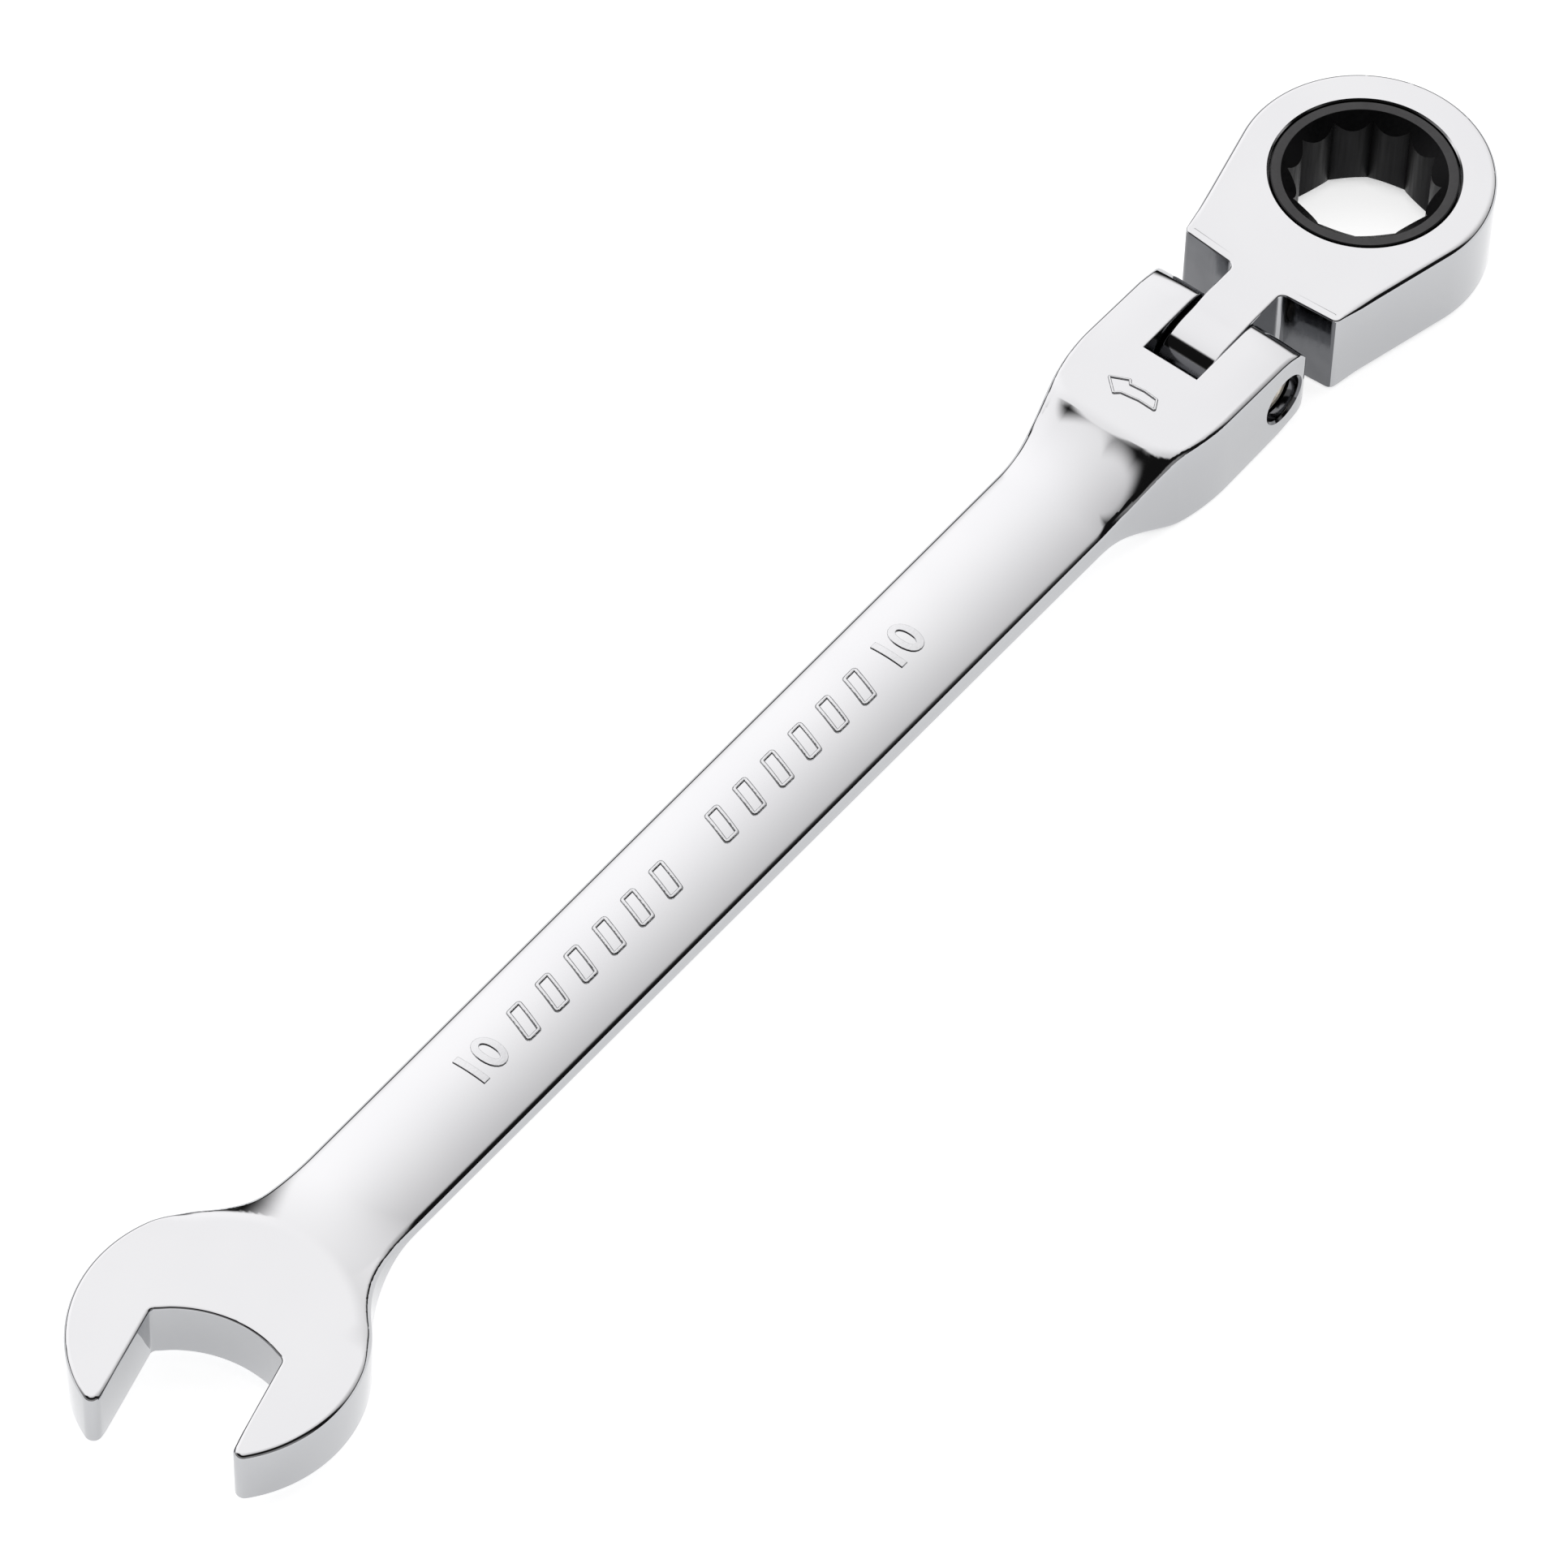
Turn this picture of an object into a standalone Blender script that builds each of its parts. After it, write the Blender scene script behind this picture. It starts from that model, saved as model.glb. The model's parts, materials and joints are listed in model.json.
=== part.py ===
"""A 10 mm combination wrench with a hinged, one-way ratcheting ring.

Frame: +X runs along the handle towards the ring, +Y is across the width and +Z is up.
The origin is the centre of the fork's flat underside, which is the face the wrench lies on.
Metres. Run it with: blender --background --python part.py
"""

import math

import bmesh
import bpy
from mathutils import Matrix

MM = 0.001

# Driving dimensions, in millimetres.
NOMINAL = 10.0  # width across flats of the nut that both ends fit
FORK_HALF_THICKNESS = 4.2
FORK_HALF_WIDTH = 6.75
FORK_NOSE_X = 12.1  # furthest point of the ears
FORK_NOSE_RADIUS = 6.5
FORK_NOSE_LEAST_HALF = 0.6  # half height left at the very front of the ears
PAD_END_X = -3.7  # where the fork's flat top gives way to the shank
PAD_CORNER_RADIUS = 3.4
PAD_FILLET_LENGTH = 7.2
FORK_TAPER_FRONT_X = 2.3
FORK_TAPER_BACK_X = -9.7
SLOT_FLOOR_X = 3.7
SLOT_HALF_WIDTH = 2.42
PIN_X = 9.1
RING_X = 27.8

SHANK_HALF_WIDTH = 4.85
SHANK_EDGE_HALF_FORK = 1.12  # half height of the side wall next to the fork
SHANK_EDGE_HALF_JAW = 0.58  # and next to the open end
SHANK_CROWN = 1.15
NECK_STEPS = 6
SHANK_FIRST_STATION = -16.0
SHANK_STATION_STEP = 10.0
ROW_SHARES = (0.25, 0.47, 0.62, 0.86)  # where lengthwise edges run, as shares of the half width

JAW_CENTRE_X = -105.5
JAW_CENTRE_Y = -0.8
JAW_RADIUS = 10.6
JAW_ANGLE = math.radians(15)
JAW_HALF_GAP = NOMINAL / 2 + 0.03
JAW_TIP_RADIUS = 0.7
JAW_HALF_THICKNESS = 2.67
JAW_FLAT_RADIUS = 9.8  # the open end's flat face, before it sweeps down to the shank
JAW_FILLET_LENGTH = 5.0
THROAT_DEPTH = 1.2
THROAT_RADIUS = 9.4
THROAT_CORNER_RADIUS = 0.5
THROAT_REACH = JAW_HALF_GAP - 1.2  # half width of the throat's arc, between its corners
NECK_FILLET_RIGHT = 12.0
NECK_FILLET_LEFT = 6.0

HEAD_RADIUS = 9.95
HEAD_HALF_THICKNESS = 3.9
SHOULDER_X = 13.05  # distance from the ring's centre back to the shoulder's outer corner
SHOULDER_ROOT_X = 13.4
SHOULDER_HALF_WIDTH = 7.05
TONGUE_HALF_WIDTH = 2.2
TONGUE_END_RADIUS = 4.4
TONGUE_ROOT_RADIUS = 0.6
TONGUE_LEAST_HALF = 0.5  # half height left at the tongue's very end
SHOULDER_CORNER_RADIUS = 0.5

TEETH = 72
TOOTH_TIP_RADIUS = 7.9
TOOTH_DEPTH = 0.4
TOOTH_LEAN = 0.04  # slope of a tooth's steep face, as a share of the pitch
BORE_RADIUS = 8.1
BORE_TOP_Z = 2.95
LIP_RADIUS = 7.25
GEAR_TOP_RADIUS = 7.1
GEAR_BOTTOM_RADIUS = 7.0
BAND_TOP_Z = 2.65
BAND_BOTTOM_Z = -1.6
GEAR_HALF_HEIGHT = 3.85
SOCKET_POINT_RADIUS = (NOMINAL + 0.06) / math.sqrt(3)
SOCKET_LOBE_RADIUS = 5.14  # nearest approach of the rounded lobes
SOCKET_CHAMFER = 0.5
CHAMFER_CONE_REACH = 1.2

RETAINER_TOP_Z = -1.95
RETAINER_THICKNESS = 0.6
RETAINER_INNER_RADIUS = 7.3
RETAINER_OUTER_RADIUS = 8.4
RETAINER_GAP = math.radians(24)
RETAINER_CLEARANCE = 0.15

DRAG_RING_Z = -3.1
DRAG_RING_WIRE = 0.35  # radius of the ring's round section
DRAG_GROOVE_DEPTH = 0.55

PAWL_BACK_X = -10.6  # from the ring's centre
PAWL_HALF_WIDTH = 2.7
PAWL_BOTTOM_Z = -1.2
PAWL_TOP_Z = 2.2
PAWL_TOOTH_CLEARANCE = 0.13
PAWL_CHEEK = 0.5  # how far the pawl's outer corners stand back from its teeth
POCKET_CLEARANCE = 0.2
PAWL_TRAVEL = 0.45
POCKET_FRONT_X = -6.0  # inside the bore, so that the pocket opens into it

SPRING_RADIUS = 0.62
SPRING_WIRE = 0.11
SPRING_TURNS = 6
SPRING_TURN_POINTS = 10
SPRING_END_GAP = 0.1
SPRING_HOLE_RADIUS = 0.85
SPRING_HOLE_END_X = -14.4
SPRING_SEAT_DEPTH = 1.2

SCREW_SHANK_RADIUS = 1.75
SCREW_HEAD_RADIUS = 2.4
SCREW_HEAD_HEIGHT = 1.3
SCREW_HEAD_RECESS = 0.25
SCREW_TIP_RECESS = 1.0
SCREW_HEX_RADIUS = 1.15
SCREW_HEX_DEPTH = 1.0
SCREW_EDGE = 0.3
TONGUE_HOLE_RADIUS = 2.0
EAR_HOLE_RADIUS = 1.95
EAR_COUNTERBORE_RADIUS = 2.6

WASHER_RADIUS = 3.0
WASHER_HOLE_RADIUS = 2.05
WASHER_THICKNESS = 0.3
WASHER_WAVE = 0.06
WASHER_RECESS_RADIUS = 3.2
WASHER_RECESS_DEPTH = 0.45
WASHER_GAP = 0.1

EDGE_BREAK = 0.3
CLEAR = 0.3  # gap kept between neighbours that would otherwise touch
WELL_OUTSIDE = 9.0  # reach of a cutter that has to pass out of the piece
MID_Z = FORK_HALF_THICKNESS  # height of the plane that halves the wrench


def clear_scene():
    for obj in list(bpy.data.objects):
        bpy.data.objects.remove(obj, do_unlink=True)


def finish_material(name, colour, metallic, roughness):
    material = bpy.data.materials.new(name)
    material.use_nodes = True
    shader = material.node_tree.nodes["Principled BSDF"]
    shader.inputs["Base Color"].default_value = (*colour, 1.0)
    shader.inputs["Metallic"].default_value = metallic
    shader.inputs["Roughness"].default_value = roughness
    material.diffuse_color = (*colour, 1.0)
    return material


def object_from(name, bm, material, location=(0, 0, 0), parent=None):
    """Turns a bmesh in millimetres into a named object in metres."""
    bmesh.ops.recalc_face_normals(bm, faces=bm.faces)
    bmesh.ops.scale(bm, vec=(MM, MM, MM), verts=bm.verts)
    mesh = bpy.data.meshes.new(name)
    bm.to_mesh(mesh)
    bm.free()
    mesh.shade_smooth()
    mesh.set_sharp_from_angle(angle=math.radians(32))
    mesh.materials.append(material)
    obj = bpy.data.objects.new(name, mesh)
    obj.location = [value * MM for value in location]
    obj.parent = parent
    bpy.context.scene.collection.objects.link(obj)
    return obj


def cut(target, cutter, operation="DIFFERENCE"):
    """Adds a Boolean, and hides its cutter."""
    cutter.hide_render = True
    cutter.display_type = "WIRE"
    modifier = target.modifiers.new(f"{operation.lower()} {cutter.name}", "BOOLEAN")
    modifier.operation = operation
    modifier.solver = "EXACT"
    modifier.object = cutter


def arc(centre, radius, start, end, steps):
    """Points along an arc, both ends included."""
    points = []
    for i in range(steps + 1):
        angle = start + (end - start) * i / steps
        points.append((centre[0] + radius * math.cos(angle), centre[1] + radius * math.sin(angle)))
    return points


def rounded_corner(before, corner, after, radius, steps=3):
    """The arc that rounds a corner between two straight lines."""
    ax, ay = before[0] - corner[0], before[1] - corner[1]
    bx, by = after[0] - corner[0], after[1] - corner[1]
    la, lb = math.hypot(ax, ay), math.hypot(bx, by)
    ax, ay, bx, by = ax / la, ay / la, bx / lb, by / lb
    half = math.acos(ax * bx + ay * by) / 2
    run = radius / math.tan(half)
    reach = radius / math.sin(half)
    mx, my = ax + bx, ay + by
    length = math.hypot(mx, my)
    centre = (corner[0] + mx / length * reach, corner[1] + my / length * reach)
    start = math.atan2(corner[1] + ay * run - centre[1], corner[0] + ax * run - centre[0])
    end = math.atan2(corner[1] + by * run - centre[1], corner[0] + bx * run - centre[0])
    turn = (end - start + math.pi) % (2 * math.pi) - math.pi
    return arc(centre, radius, start, start + turn, steps)


def slab(outline, half_height):
    """A plate of the given outline, from -half_height to +half_height."""
    bm = bmesh.new()
    face = bm.faces.new([bm.verts.new((x, y, -half_height)) for x, y in outline])
    moved = bmesh.ops.extrude_face_region(bm, geom=[face])["geom"]
    raised = [item for item in moved if isinstance(item, bmesh.types.BMVert)]
    bmesh.ops.translate(bm, vec=(0, 0, 2 * half_height), verts=raised)
    return bm


def forging(outline, stations_x, stations_y, height_at):
    """A body with upright sides whose two faces follow height_at(x, y), its rims chamfered."""
    rim_mark = 0.5
    bm = slab(outline, 1.0)
    bmesh.ops.recalc_face_normals(bm, faces=bm.faces)
    flats = [face for face in bm.faces if abs(face.normal.z) > 0.9]
    rim = [vert for face in flats for vert in face.verts]
    bmesh.ops.inset_region(bm, faces=flats, thickness=EDGE_BREAK, use_even_offset=True)
    for vert in rim:
        vert.co.z = math.copysign(rim_mark, vert.co.z)
    slice_mesh(bm, 0, stations_x)
    slice_mesh(bm, 1, stations_y)
    for vert in bm.verts:
        lowered = EDGE_BREAK if abs(vert.co.z) < rim_mark + 0.01 else 0.0
        height = height_at(vert.co.x, vert.co.y) - lowered
        vert.co.z = math.copysign(height, vert.co.z)
    curved = [face for face in bm.faces if len(face.verts) > 3]
    bmesh.ops.triangulate(bm, faces=curved)
    return bm


def slice_mesh(bm, axis, stations):
    """Adds edges across the whole mesh where it meets each plane of constant x or y."""
    normal = (1, 0, 0) if axis == 0 else (0, 1, 0)
    for station in stations:
        everything = bm.verts[:] + bm.edges[:] + bm.faces[:]
        point = tuple(station * part for part in normal)
        bmesh.ops.bisect_plane(bm, geom=everything, dist=1e-4, plane_co=point, plane_no=normal)


def turned(profile, steps):
    """A body turned about Z from a (radius, height) profile, a loop or one that ends on the axis."""
    bm = bmesh.new()
    line = [bm.verts.new((radius, 0, height)) for radius, height in profile]
    edges = [bm.edges.new(pair) for pair in zip(line, line[1:])]
    if profile[0][0] > 0:
        edges.append(bm.edges.new((line[-1], line[0])))
    bmesh.ops.spin(
        bm,
        geom=line + edges,
        cent=(0, 0, 0),
        axis=(0, 0, 1),
        angle=2 * math.pi,
        steps=steps,
        use_merge=True,
        use_duplicate=False,
    )
    bmesh.ops.remove_doubles(bm, verts=bm.verts, dist=1e-5)
    return bm


def rod(radius, start, end, axis, sides=48, end_radius=None):
    """A cylinder or cone between two places along an axis through the origin."""
    bm = bmesh.new()
    bmesh.ops.create_cone(
        bm,
        cap_ends=True,
        segments=sides,
        radius1=radius,
        radius2=radius if end_radius is None else end_radius,
        depth=end - start,
    )
    bmesh.ops.translate(bm, vec=(0, 0, (start + end) / 2), verts=bm.verts)
    turns = {"X": Matrix.Rotation(math.pi / 2, 3, "Y"), "Y": Matrix.Rotation(-math.pi / 2, 3, "X")}
    if axis in turns:
        bmesh.ops.rotate(bm, cent=(0, 0, 0), matrix=turns[axis], verts=bm.verts)
    return bm


def block(low, high):
    bm = bmesh.new()
    bmesh.ops.create_cube(bm, size=1.0)
    bmesh.ops.scale(bm, vec=[b - a for a, b in zip(low, high)], verts=bm.verts)
    bmesh.ops.translate(bm, vec=[(a + b) / 2 for a, b in zip(low, high)], verts=bm.verts)
    return bm


# --- the handle: open end, shank and fork in one forging -----------------------------------


def jaw_point(along, across):
    """A point in the open end's own axes: out along its opening, and across it towards +Y."""
    along_x, along_y = -math.cos(JAW_ANGLE), -math.sin(JAW_ANGLE)
    return (
        JAW_CENTRE_X + along * along_x + across * along_y,
        JAW_CENTRE_Y + along * along_y - across * along_x,
    )


def neck(side, fillet):
    """The concave arc from the shank's edge on to the round of the open end."""
    centre_y = side * (SHANK_HALF_WIDTH + fillet)
    rise = centre_y - JAW_CENTRE_Y
    run = math.sqrt((JAW_RADIUS + fillet) ** 2 - rise**2)
    centre = (JAW_CENTRE_X + run, centre_y)
    start = -side * math.pi / 2
    end = math.atan2(-rise, -run)
    turn = (end - start + math.pi) % (2 * math.pi) - math.pi
    return arc(centre, fillet, start, start + turn, NECK_STEPS)


def throat_along(across):
    """How far along the opening its hollow bottom lies, at a place across it."""
    return THROAT_RADIUS - THROAT_DEPTH - math.sqrt(THROAT_RADIUS**2 - across**2)


def jaw(side):
    """One jaw's tip and flat, from the round of the open end to the throat's corner."""
    tip_across = JAW_HALF_GAP + JAW_TIP_RADIUS
    tip_along = math.sqrt((JAW_RADIUS - JAW_TIP_RADIUS) ** 2 - tip_across**2)
    start = math.atan2(tip_across, tip_along)
    line = arc((tip_along, tip_across), JAW_TIP_RADIUS, start, -math.pi / 2, 5)
    corner = (throat_along(JAW_HALF_GAP), JAW_HALF_GAP)
    into_throat = (throat_along(THROAT_REACH), THROAT_REACH)
    line += rounded_corner(line[-1], corner, into_throat, THROAT_CORNER_RADIUS)
    return [jaw_point(along, side * across) for along, across in line]


def jaw_outline(steps=8):
    """The open end from its neck at -Y, round both jaws, to its neck at +Y."""
    right_neck = neck(-1, NECK_FILLET_RIGHT)
    left_neck = neck(1, NECK_FILLET_LEFT)[::-1]
    right_jaw = jaw(-1)
    left_jaw = jaw(1)[::-1]
    throat = []
    for i in range(steps + 1):
        across = THROAT_REACH * (2 * i / steps - 1)
        throat.append(jaw_point(throat_along(across), across))
    outline = right_neck + clockwise_round(right_neck[-1], right_jaw[0]) + right_jaw + throat
    return outline + left_jaw + clockwise_round(left_jaw[-1], left_neck[0]) + left_neck


def clockwise_round(start, end, steps=14):
    """Points on the open end's round, going clockwise between two points on it."""
    begin = math.atan2(start[1] - JAW_CENTRE_Y, start[0] - JAW_CENTRE_X)
    finish = math.atan2(end[1] - JAW_CENTRE_Y, end[0] - JAW_CENTRE_X)
    turn = -((begin - finish) % (2 * math.pi))
    return arc((JAW_CENTRE_X, JAW_CENTRE_Y), JAW_RADIUS, begin, begin + turn, steps)[1:-1]


def smooth_step(value):
    value = min(1.0, max(0.0, value))
    return value * value * (3 - 2 * value)


def taper_edge(side, steps=10):
    """The fork's side as it narrows to the shank."""
    points = []
    for i in range(steps + 1):
        share = i / steps
        x = FORK_TAPER_FRONT_X + (FORK_TAPER_BACK_X - FORK_TAPER_FRONT_X) * share
        extra = (FORK_HALF_WIDTH - SHANK_HALF_WIDTH) * smooth_step(1 - share)
        points.append((x, side * (SHANK_HALF_WIDTH + extra)))
    return points


def handle_outline():
    nose, width, slot, floor = FORK_NOSE_X, FORK_HALF_WIDTH, SLOT_HALF_WIDTH, SLOT_FLOOR_X
    right = [(floor, -slot), (nose, -slot), (nose, -width)] + taper_edge(-1)
    left = taper_edge(1)[::-1] + [(nose, width), (nose, slot), (floor, slot)]
    return right + jaw_outline() + left


def shank_height(x, y):
    share = (x - FORK_TAPER_BACK_X) / (JAW_CENTRE_X + JAW_RADIUS - FORK_TAPER_BACK_X)
    share = min(1.0, max(0.0, share))
    edge = SHANK_EDGE_HALF_FORK + (SHANK_EDGE_HALF_JAW - SHANK_EDGE_HALF_FORK) * share
    offset = min(1.0, abs(y) / SHANK_HALF_WIDTH)
    return edge + SHANK_CROWN * (1 - offset * offset)


def fall(distance, length):
    """1 on a flat face, falling to 0 over a concave sweep."""
    share = min(1.0, max(0.0, distance / length))
    return (1 - share) ** 2 * (1 + 0.4 * share)


def handle_height(x, y):
    """Half the handle's thickness at a place in its outline."""
    beyond_x = max(PAD_END_X + PAD_CORNER_RADIUS - x, 0.0)
    beyond_y = max(abs(y) - FORK_HALF_WIDTH + PAD_CORNER_RADIUS, 0.0)
    from_pad = math.hypot(beyond_x, beyond_y) - PAD_CORNER_RADIUS
    from_jaw = math.hypot(x - JAW_CENTRE_X, y - JAW_CENTRE_Y) - JAW_FLAT_RADIUS
    height = shank_height(x, y)
    height += (FORK_HALF_THICKNESS - height) * fall(from_pad, PAD_FILLET_LENGTH)
    height += (JAW_HALF_THICKNESS - height) * fall(from_jaw, JAW_FILLET_LENGTH)
    nose_centre = FORK_NOSE_X - FORK_NOSE_RADIUS
    if x > nose_centre:
        reach = max(FORK_NOSE_RADIUS**2 - (x - nose_centre) ** 2, 0.0)
        height = min(height, max(math.sqrt(reach), FORK_NOSE_LEAST_HALF))
    return height


def nose_stations():
    """Places along the ears where the rounded nose needs an edge."""
    centre = FORK_NOSE_X - FORK_NOSE_RADIUS
    top = math.asin(FORK_HALF_THICKNESS / FORK_NOSE_RADIUS)
    return [centre + FORK_NOSE_RADIUS * math.cos(top * i / 6) for i in range(1, 7)]


def make_handle(material):
    stations = nose_stations()
    stations += [PAD_END_X - PAD_FILLET_LENGTH * i / 8 for i in range(-4, 9)]
    stations += [SHANK_FIRST_STATION - SHANK_STATION_STEP * i for i in range(8)]
    jaw_front = JAW_CENTRE_X + JAW_FLAT_RADIUS
    stations += [jaw_front + JAW_FILLET_LENGTH * i / 5 for i in range(-2, 6)]
    rows = [side * FORK_HALF_WIDTH * share for side in (-1, 1) for share in ROW_SHARES] + [0.0]
    bm = forging(handle_outline(), stations, rows, handle_height)
    handle = object_from("handle", bm, material, (0, 0, MID_Z))
    seat_y = FORK_HALF_WIDTH - SCREW_HEAD_RECESS - SCREW_HEAD_HEIGHT - CLEAR
    cutters = [
        ("handle_pin_hole", rod(EAR_HOLE_RADIUS, -WELL_OUTSIDE, WELL_OUTSIDE, "Y", 32)),
        ("handle_screw_seat", rod(EAR_COUNTERBORE_RADIUS, seat_y, WELL_OUTSIDE, "Y", 32)),
    ]
    for name, shape in cutters:
        bmesh.ops.translate(shape, vec=(PIN_X, 0, 0), verts=shape.verts)
        cut(handle, object_from(name, shape, material, (0, 0, MID_Z)))
    return handle


# --- the ratchet head: ring, shoulders and tongue in one forging ---------------------------


def head_outline():
    """The head's plan about the hinge pin, symmetric about its centreline."""
    centre = RING_X - PIN_X
    corner_x = centre - SHOULDER_X
    distance = math.hypot(SHOULDER_X, SHOULDER_HALF_WIDTH)
    corner_angle = math.atan2(SHOULDER_HALF_WIDTH, -SHOULDER_X)
    tangent_angle = corner_angle - math.acos(HEAD_RADIUS / distance)
    ring = arc((centre, 0), HEAD_RADIUS, -tangent_angle, tangent_angle, 44)
    root_x = centre - SHOULDER_ROOT_X
    shoulder = (corner_x, SHOULDER_HALF_WIDTH)
    root = (root_x, TONGUE_HALF_WIDTH)
    tongue_end = (-TONGUE_END_RADIUS, TONGUE_HALF_WIDTH)
    half = rounded_corner(ring[-1], shoulder, root, SHOULDER_CORNER_RADIUS, 2)
    half += rounded_corner(shoulder, root, tongue_end, TONGUE_ROOT_RADIUS)
    half.append(tongue_end)
    mirrored = [(x, -y) for x, y in half[::-1]]
    return ring + half + mirrored


def head_height(x, _):
    """Half the head's thickness: flat, then round about the pin at the tongue's end."""
    if x >= 0:
        return HEAD_HALF_THICKNESS
    reach = max(TONGUE_END_RADIUS**2 - x * x, 0.0)
    return min(HEAD_HALF_THICKNESS, max(math.sqrt(reach), TONGUE_LEAST_HALF))


def make_head(material):
    top = math.asin(HEAD_HALF_THICKNESS / TONGUE_END_RADIUS)
    stations = [-TONGUE_END_RADIUS * math.cos(top * i / 8) for i in range(1, 9)]
    bm = forging(head_outline(), stations, [], head_height)
    head = object_from("ratchet_head", bm, material, (PIN_X, 0, MID_Z))
    ring_x = RING_X - PIN_X
    for name, shape in (
        ("head_cavity", head_cavity()),
        ("head_pawl_pocket", pawl_pocket()),
        ("head_spring_hole", spring_hole()),
    ):
        bmesh.ops.translate(shape, vec=(ring_x, 0, 0), verts=shape.verts)
        cut(head, object_from(name, shape, material, (PIN_X, 0, MID_Z)))
    recess_y = TONGUE_HALF_WIDTH - WASHER_RECESS_DEPTH
    beyond_y = TONGUE_HALF_WIDTH + CLEAR
    for name, shape in (
        ("head_pin_hole", rod(TONGUE_HOLE_RADIUS, -beyond_y, beyond_y, "Y", 32)),
        ("head_washer_recess_left", rod(WASHER_RECESS_RADIUS, recess_y, beyond_y, "Y", 40)),
        ("head_washer_recess_right", rod(WASHER_RECESS_RADIUS, -beyond_y, -recess_y, "Y", 40)),
    ):
        cut(head, object_from(name, shape, material, (PIN_X, 0, MID_Z)))
    return head


def head_cavity():
    """The bore for the gear, open below, with a lip above and a groove for the retaining ring."""
    groove_radius = RETAINER_OUTER_RADIUS + RETAINER_CLEARANCE
    groove_top = RETAINER_TOP_Z + RETAINER_CLEARANCE
    groove_bottom = RETAINER_TOP_Z - RETAINER_THICKNESS - RETAINER_CLEARANCE
    beyond = HEAD_HALF_THICKNESS + 1.0
    profile = [
        (0, -beyond),
        (BORE_RADIUS, -beyond),
        (BORE_RADIUS, groove_bottom),
        (groove_radius, groove_bottom),
        (groove_radius, groove_top),
        (BORE_RADIUS, groove_top),
        (BORE_RADIUS, BORE_TOP_Z),
        (LIP_RADIUS, BORE_TOP_Z),
        (LIP_RADIUS, beyond),
        (0, beyond),
    ]
    return turned(profile, 72)


def pawl_pocket():
    """The slot behind the bore where the pawl slides."""
    back = PAWL_BACK_X - PAWL_TRAVEL - POCKET_CLEARANCE
    half_width = PAWL_HALF_WIDTH + POCKET_CLEARANCE
    low = (back, -half_width, PAWL_BOTTOM_Z - POCKET_CLEARANCE)
    high = (POCKET_FRONT_X, half_width, PAWL_TOP_Z + POCKET_CLEARANCE)
    return block(low, high)


def spring_hole():
    hole = rod(SPRING_HOLE_RADIUS, SPRING_HOLE_END_X, POCKET_FRONT_X, "X", 24)
    bmesh.ops.translate(hole, vec=(0, 0, spring_height()), verts=hole.verts)
    return hole


# --- the ratchet works ---------------------------------------------------------------------


def tooth_points(first, last, outward=0.0):
    """Two points for each tooth, at its tip and at the foot of its steep face."""
    pitch = 2 * math.pi / TEETH
    foot_radius = TOOTH_TIP_RADIUS - TOOTH_DEPTH
    points = []
    for index in range(first, last):
        for radius, lean in ((TOOTH_TIP_RADIUS, -TOOTH_LEAN), (foot_radius, TOOTH_LEAN)):
            angle = (index + lean) * pitch
            points.append(((radius + outward) * math.cos(angle), (radius + outward) * math.sin(angle)))
    return points


def socket_outline(points=12, steps=5):
    """Twelve sharp points with a rounded lobe between each two."""
    outline = []
    pitch = 2 * math.pi / points
    half_chord = SOCKET_POINT_RADIUS * math.sin(pitch / 2)
    sagitta = SOCKET_POINT_RADIUS * math.cos(pitch / 2) - SOCKET_LOBE_RADIUS
    radius = (half_chord**2 + sagitta**2) / (2 * sagitta)
    sweep = math.asin(half_chord / radius)
    for index in range(points):
        middle = (index + 0.5) * pitch
        centre = (
            (SOCKET_LOBE_RADIUS + radius) * math.cos(middle),
            (SOCKET_LOBE_RADIUS + radius) * math.sin(middle),
        )
        start = middle + math.pi
        outline += arc(centre, radius, start + sweep, start - sweep, steps)[:-1]
    return outline


def make_gear(material, head):
    location = (RING_X - PIN_X, 0, 0)
    band = slab(tooth_points(0, TEETH), (BAND_TOP_Z - BAND_BOTTOM_Z) / 2)
    bmesh.ops.translate(band, vec=(0, 0, (BAND_TOP_Z + BAND_BOTTOM_Z) / 2), verts=band.verts)
    gear = object_from("ratchet_gear", band, material, location, head)
    cut(gear, object_from("gear_hub", gear_hub(), material, location, head), "UNION")
    socket = slab(socket_outline(), GEAR_HALF_HEIGHT + 1.0)
    cut(gear, object_from("gear_socket", socket, material, location, head))
    mouth = SOCKET_POINT_RADIUS + SOCKET_CHAMFER
    top = GEAR_HALF_HEIGHT
    narrow, wide = mouth - CHAMFER_CONE_REACH, mouth + CLEAR
    deep, beyond = top - CHAMFER_CONE_REACH, top + CLEAR
    for name, start, end, first, last in (
        ("gear_chamfer_top", deep, beyond, narrow, wide),
        ("gear_chamfer_bottom", -beyond, -deep, wide, narrow),
    ):
        cone = rod(first, start, end, "Z", 48, last)
        cut(gear, object_from(name, cone, material, location, head))
    return gear


def gear_hub():
    """The gear's two journals, the lower one grooved for the drag ring."""
    groove_radius = GEAR_BOTTOM_RADIUS - DRAG_GROOVE_DEPTH
    groove_half = DRAG_RING_WIRE + WASHER_GAP
    profile = [
        (0, -GEAR_HALF_HEIGHT),
        (GEAR_BOTTOM_RADIUS, -GEAR_HALF_HEIGHT),
        (GEAR_BOTTOM_RADIUS, DRAG_RING_Z - groove_half),
        (groove_radius, DRAG_RING_Z - groove_half),
        (groove_radius, DRAG_RING_Z + groove_half),
        (GEAR_BOTTOM_RADIUS, DRAG_RING_Z + groove_half),
        (GEAR_BOTTOM_RADIUS, 0),
        (GEAR_TOP_RADIUS, 0),
        (GEAR_TOP_RADIUS, GEAR_HALF_HEIGHT),
        (0, GEAR_HALF_HEIGHT),
    ]
    return turned(profile, 64)


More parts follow.
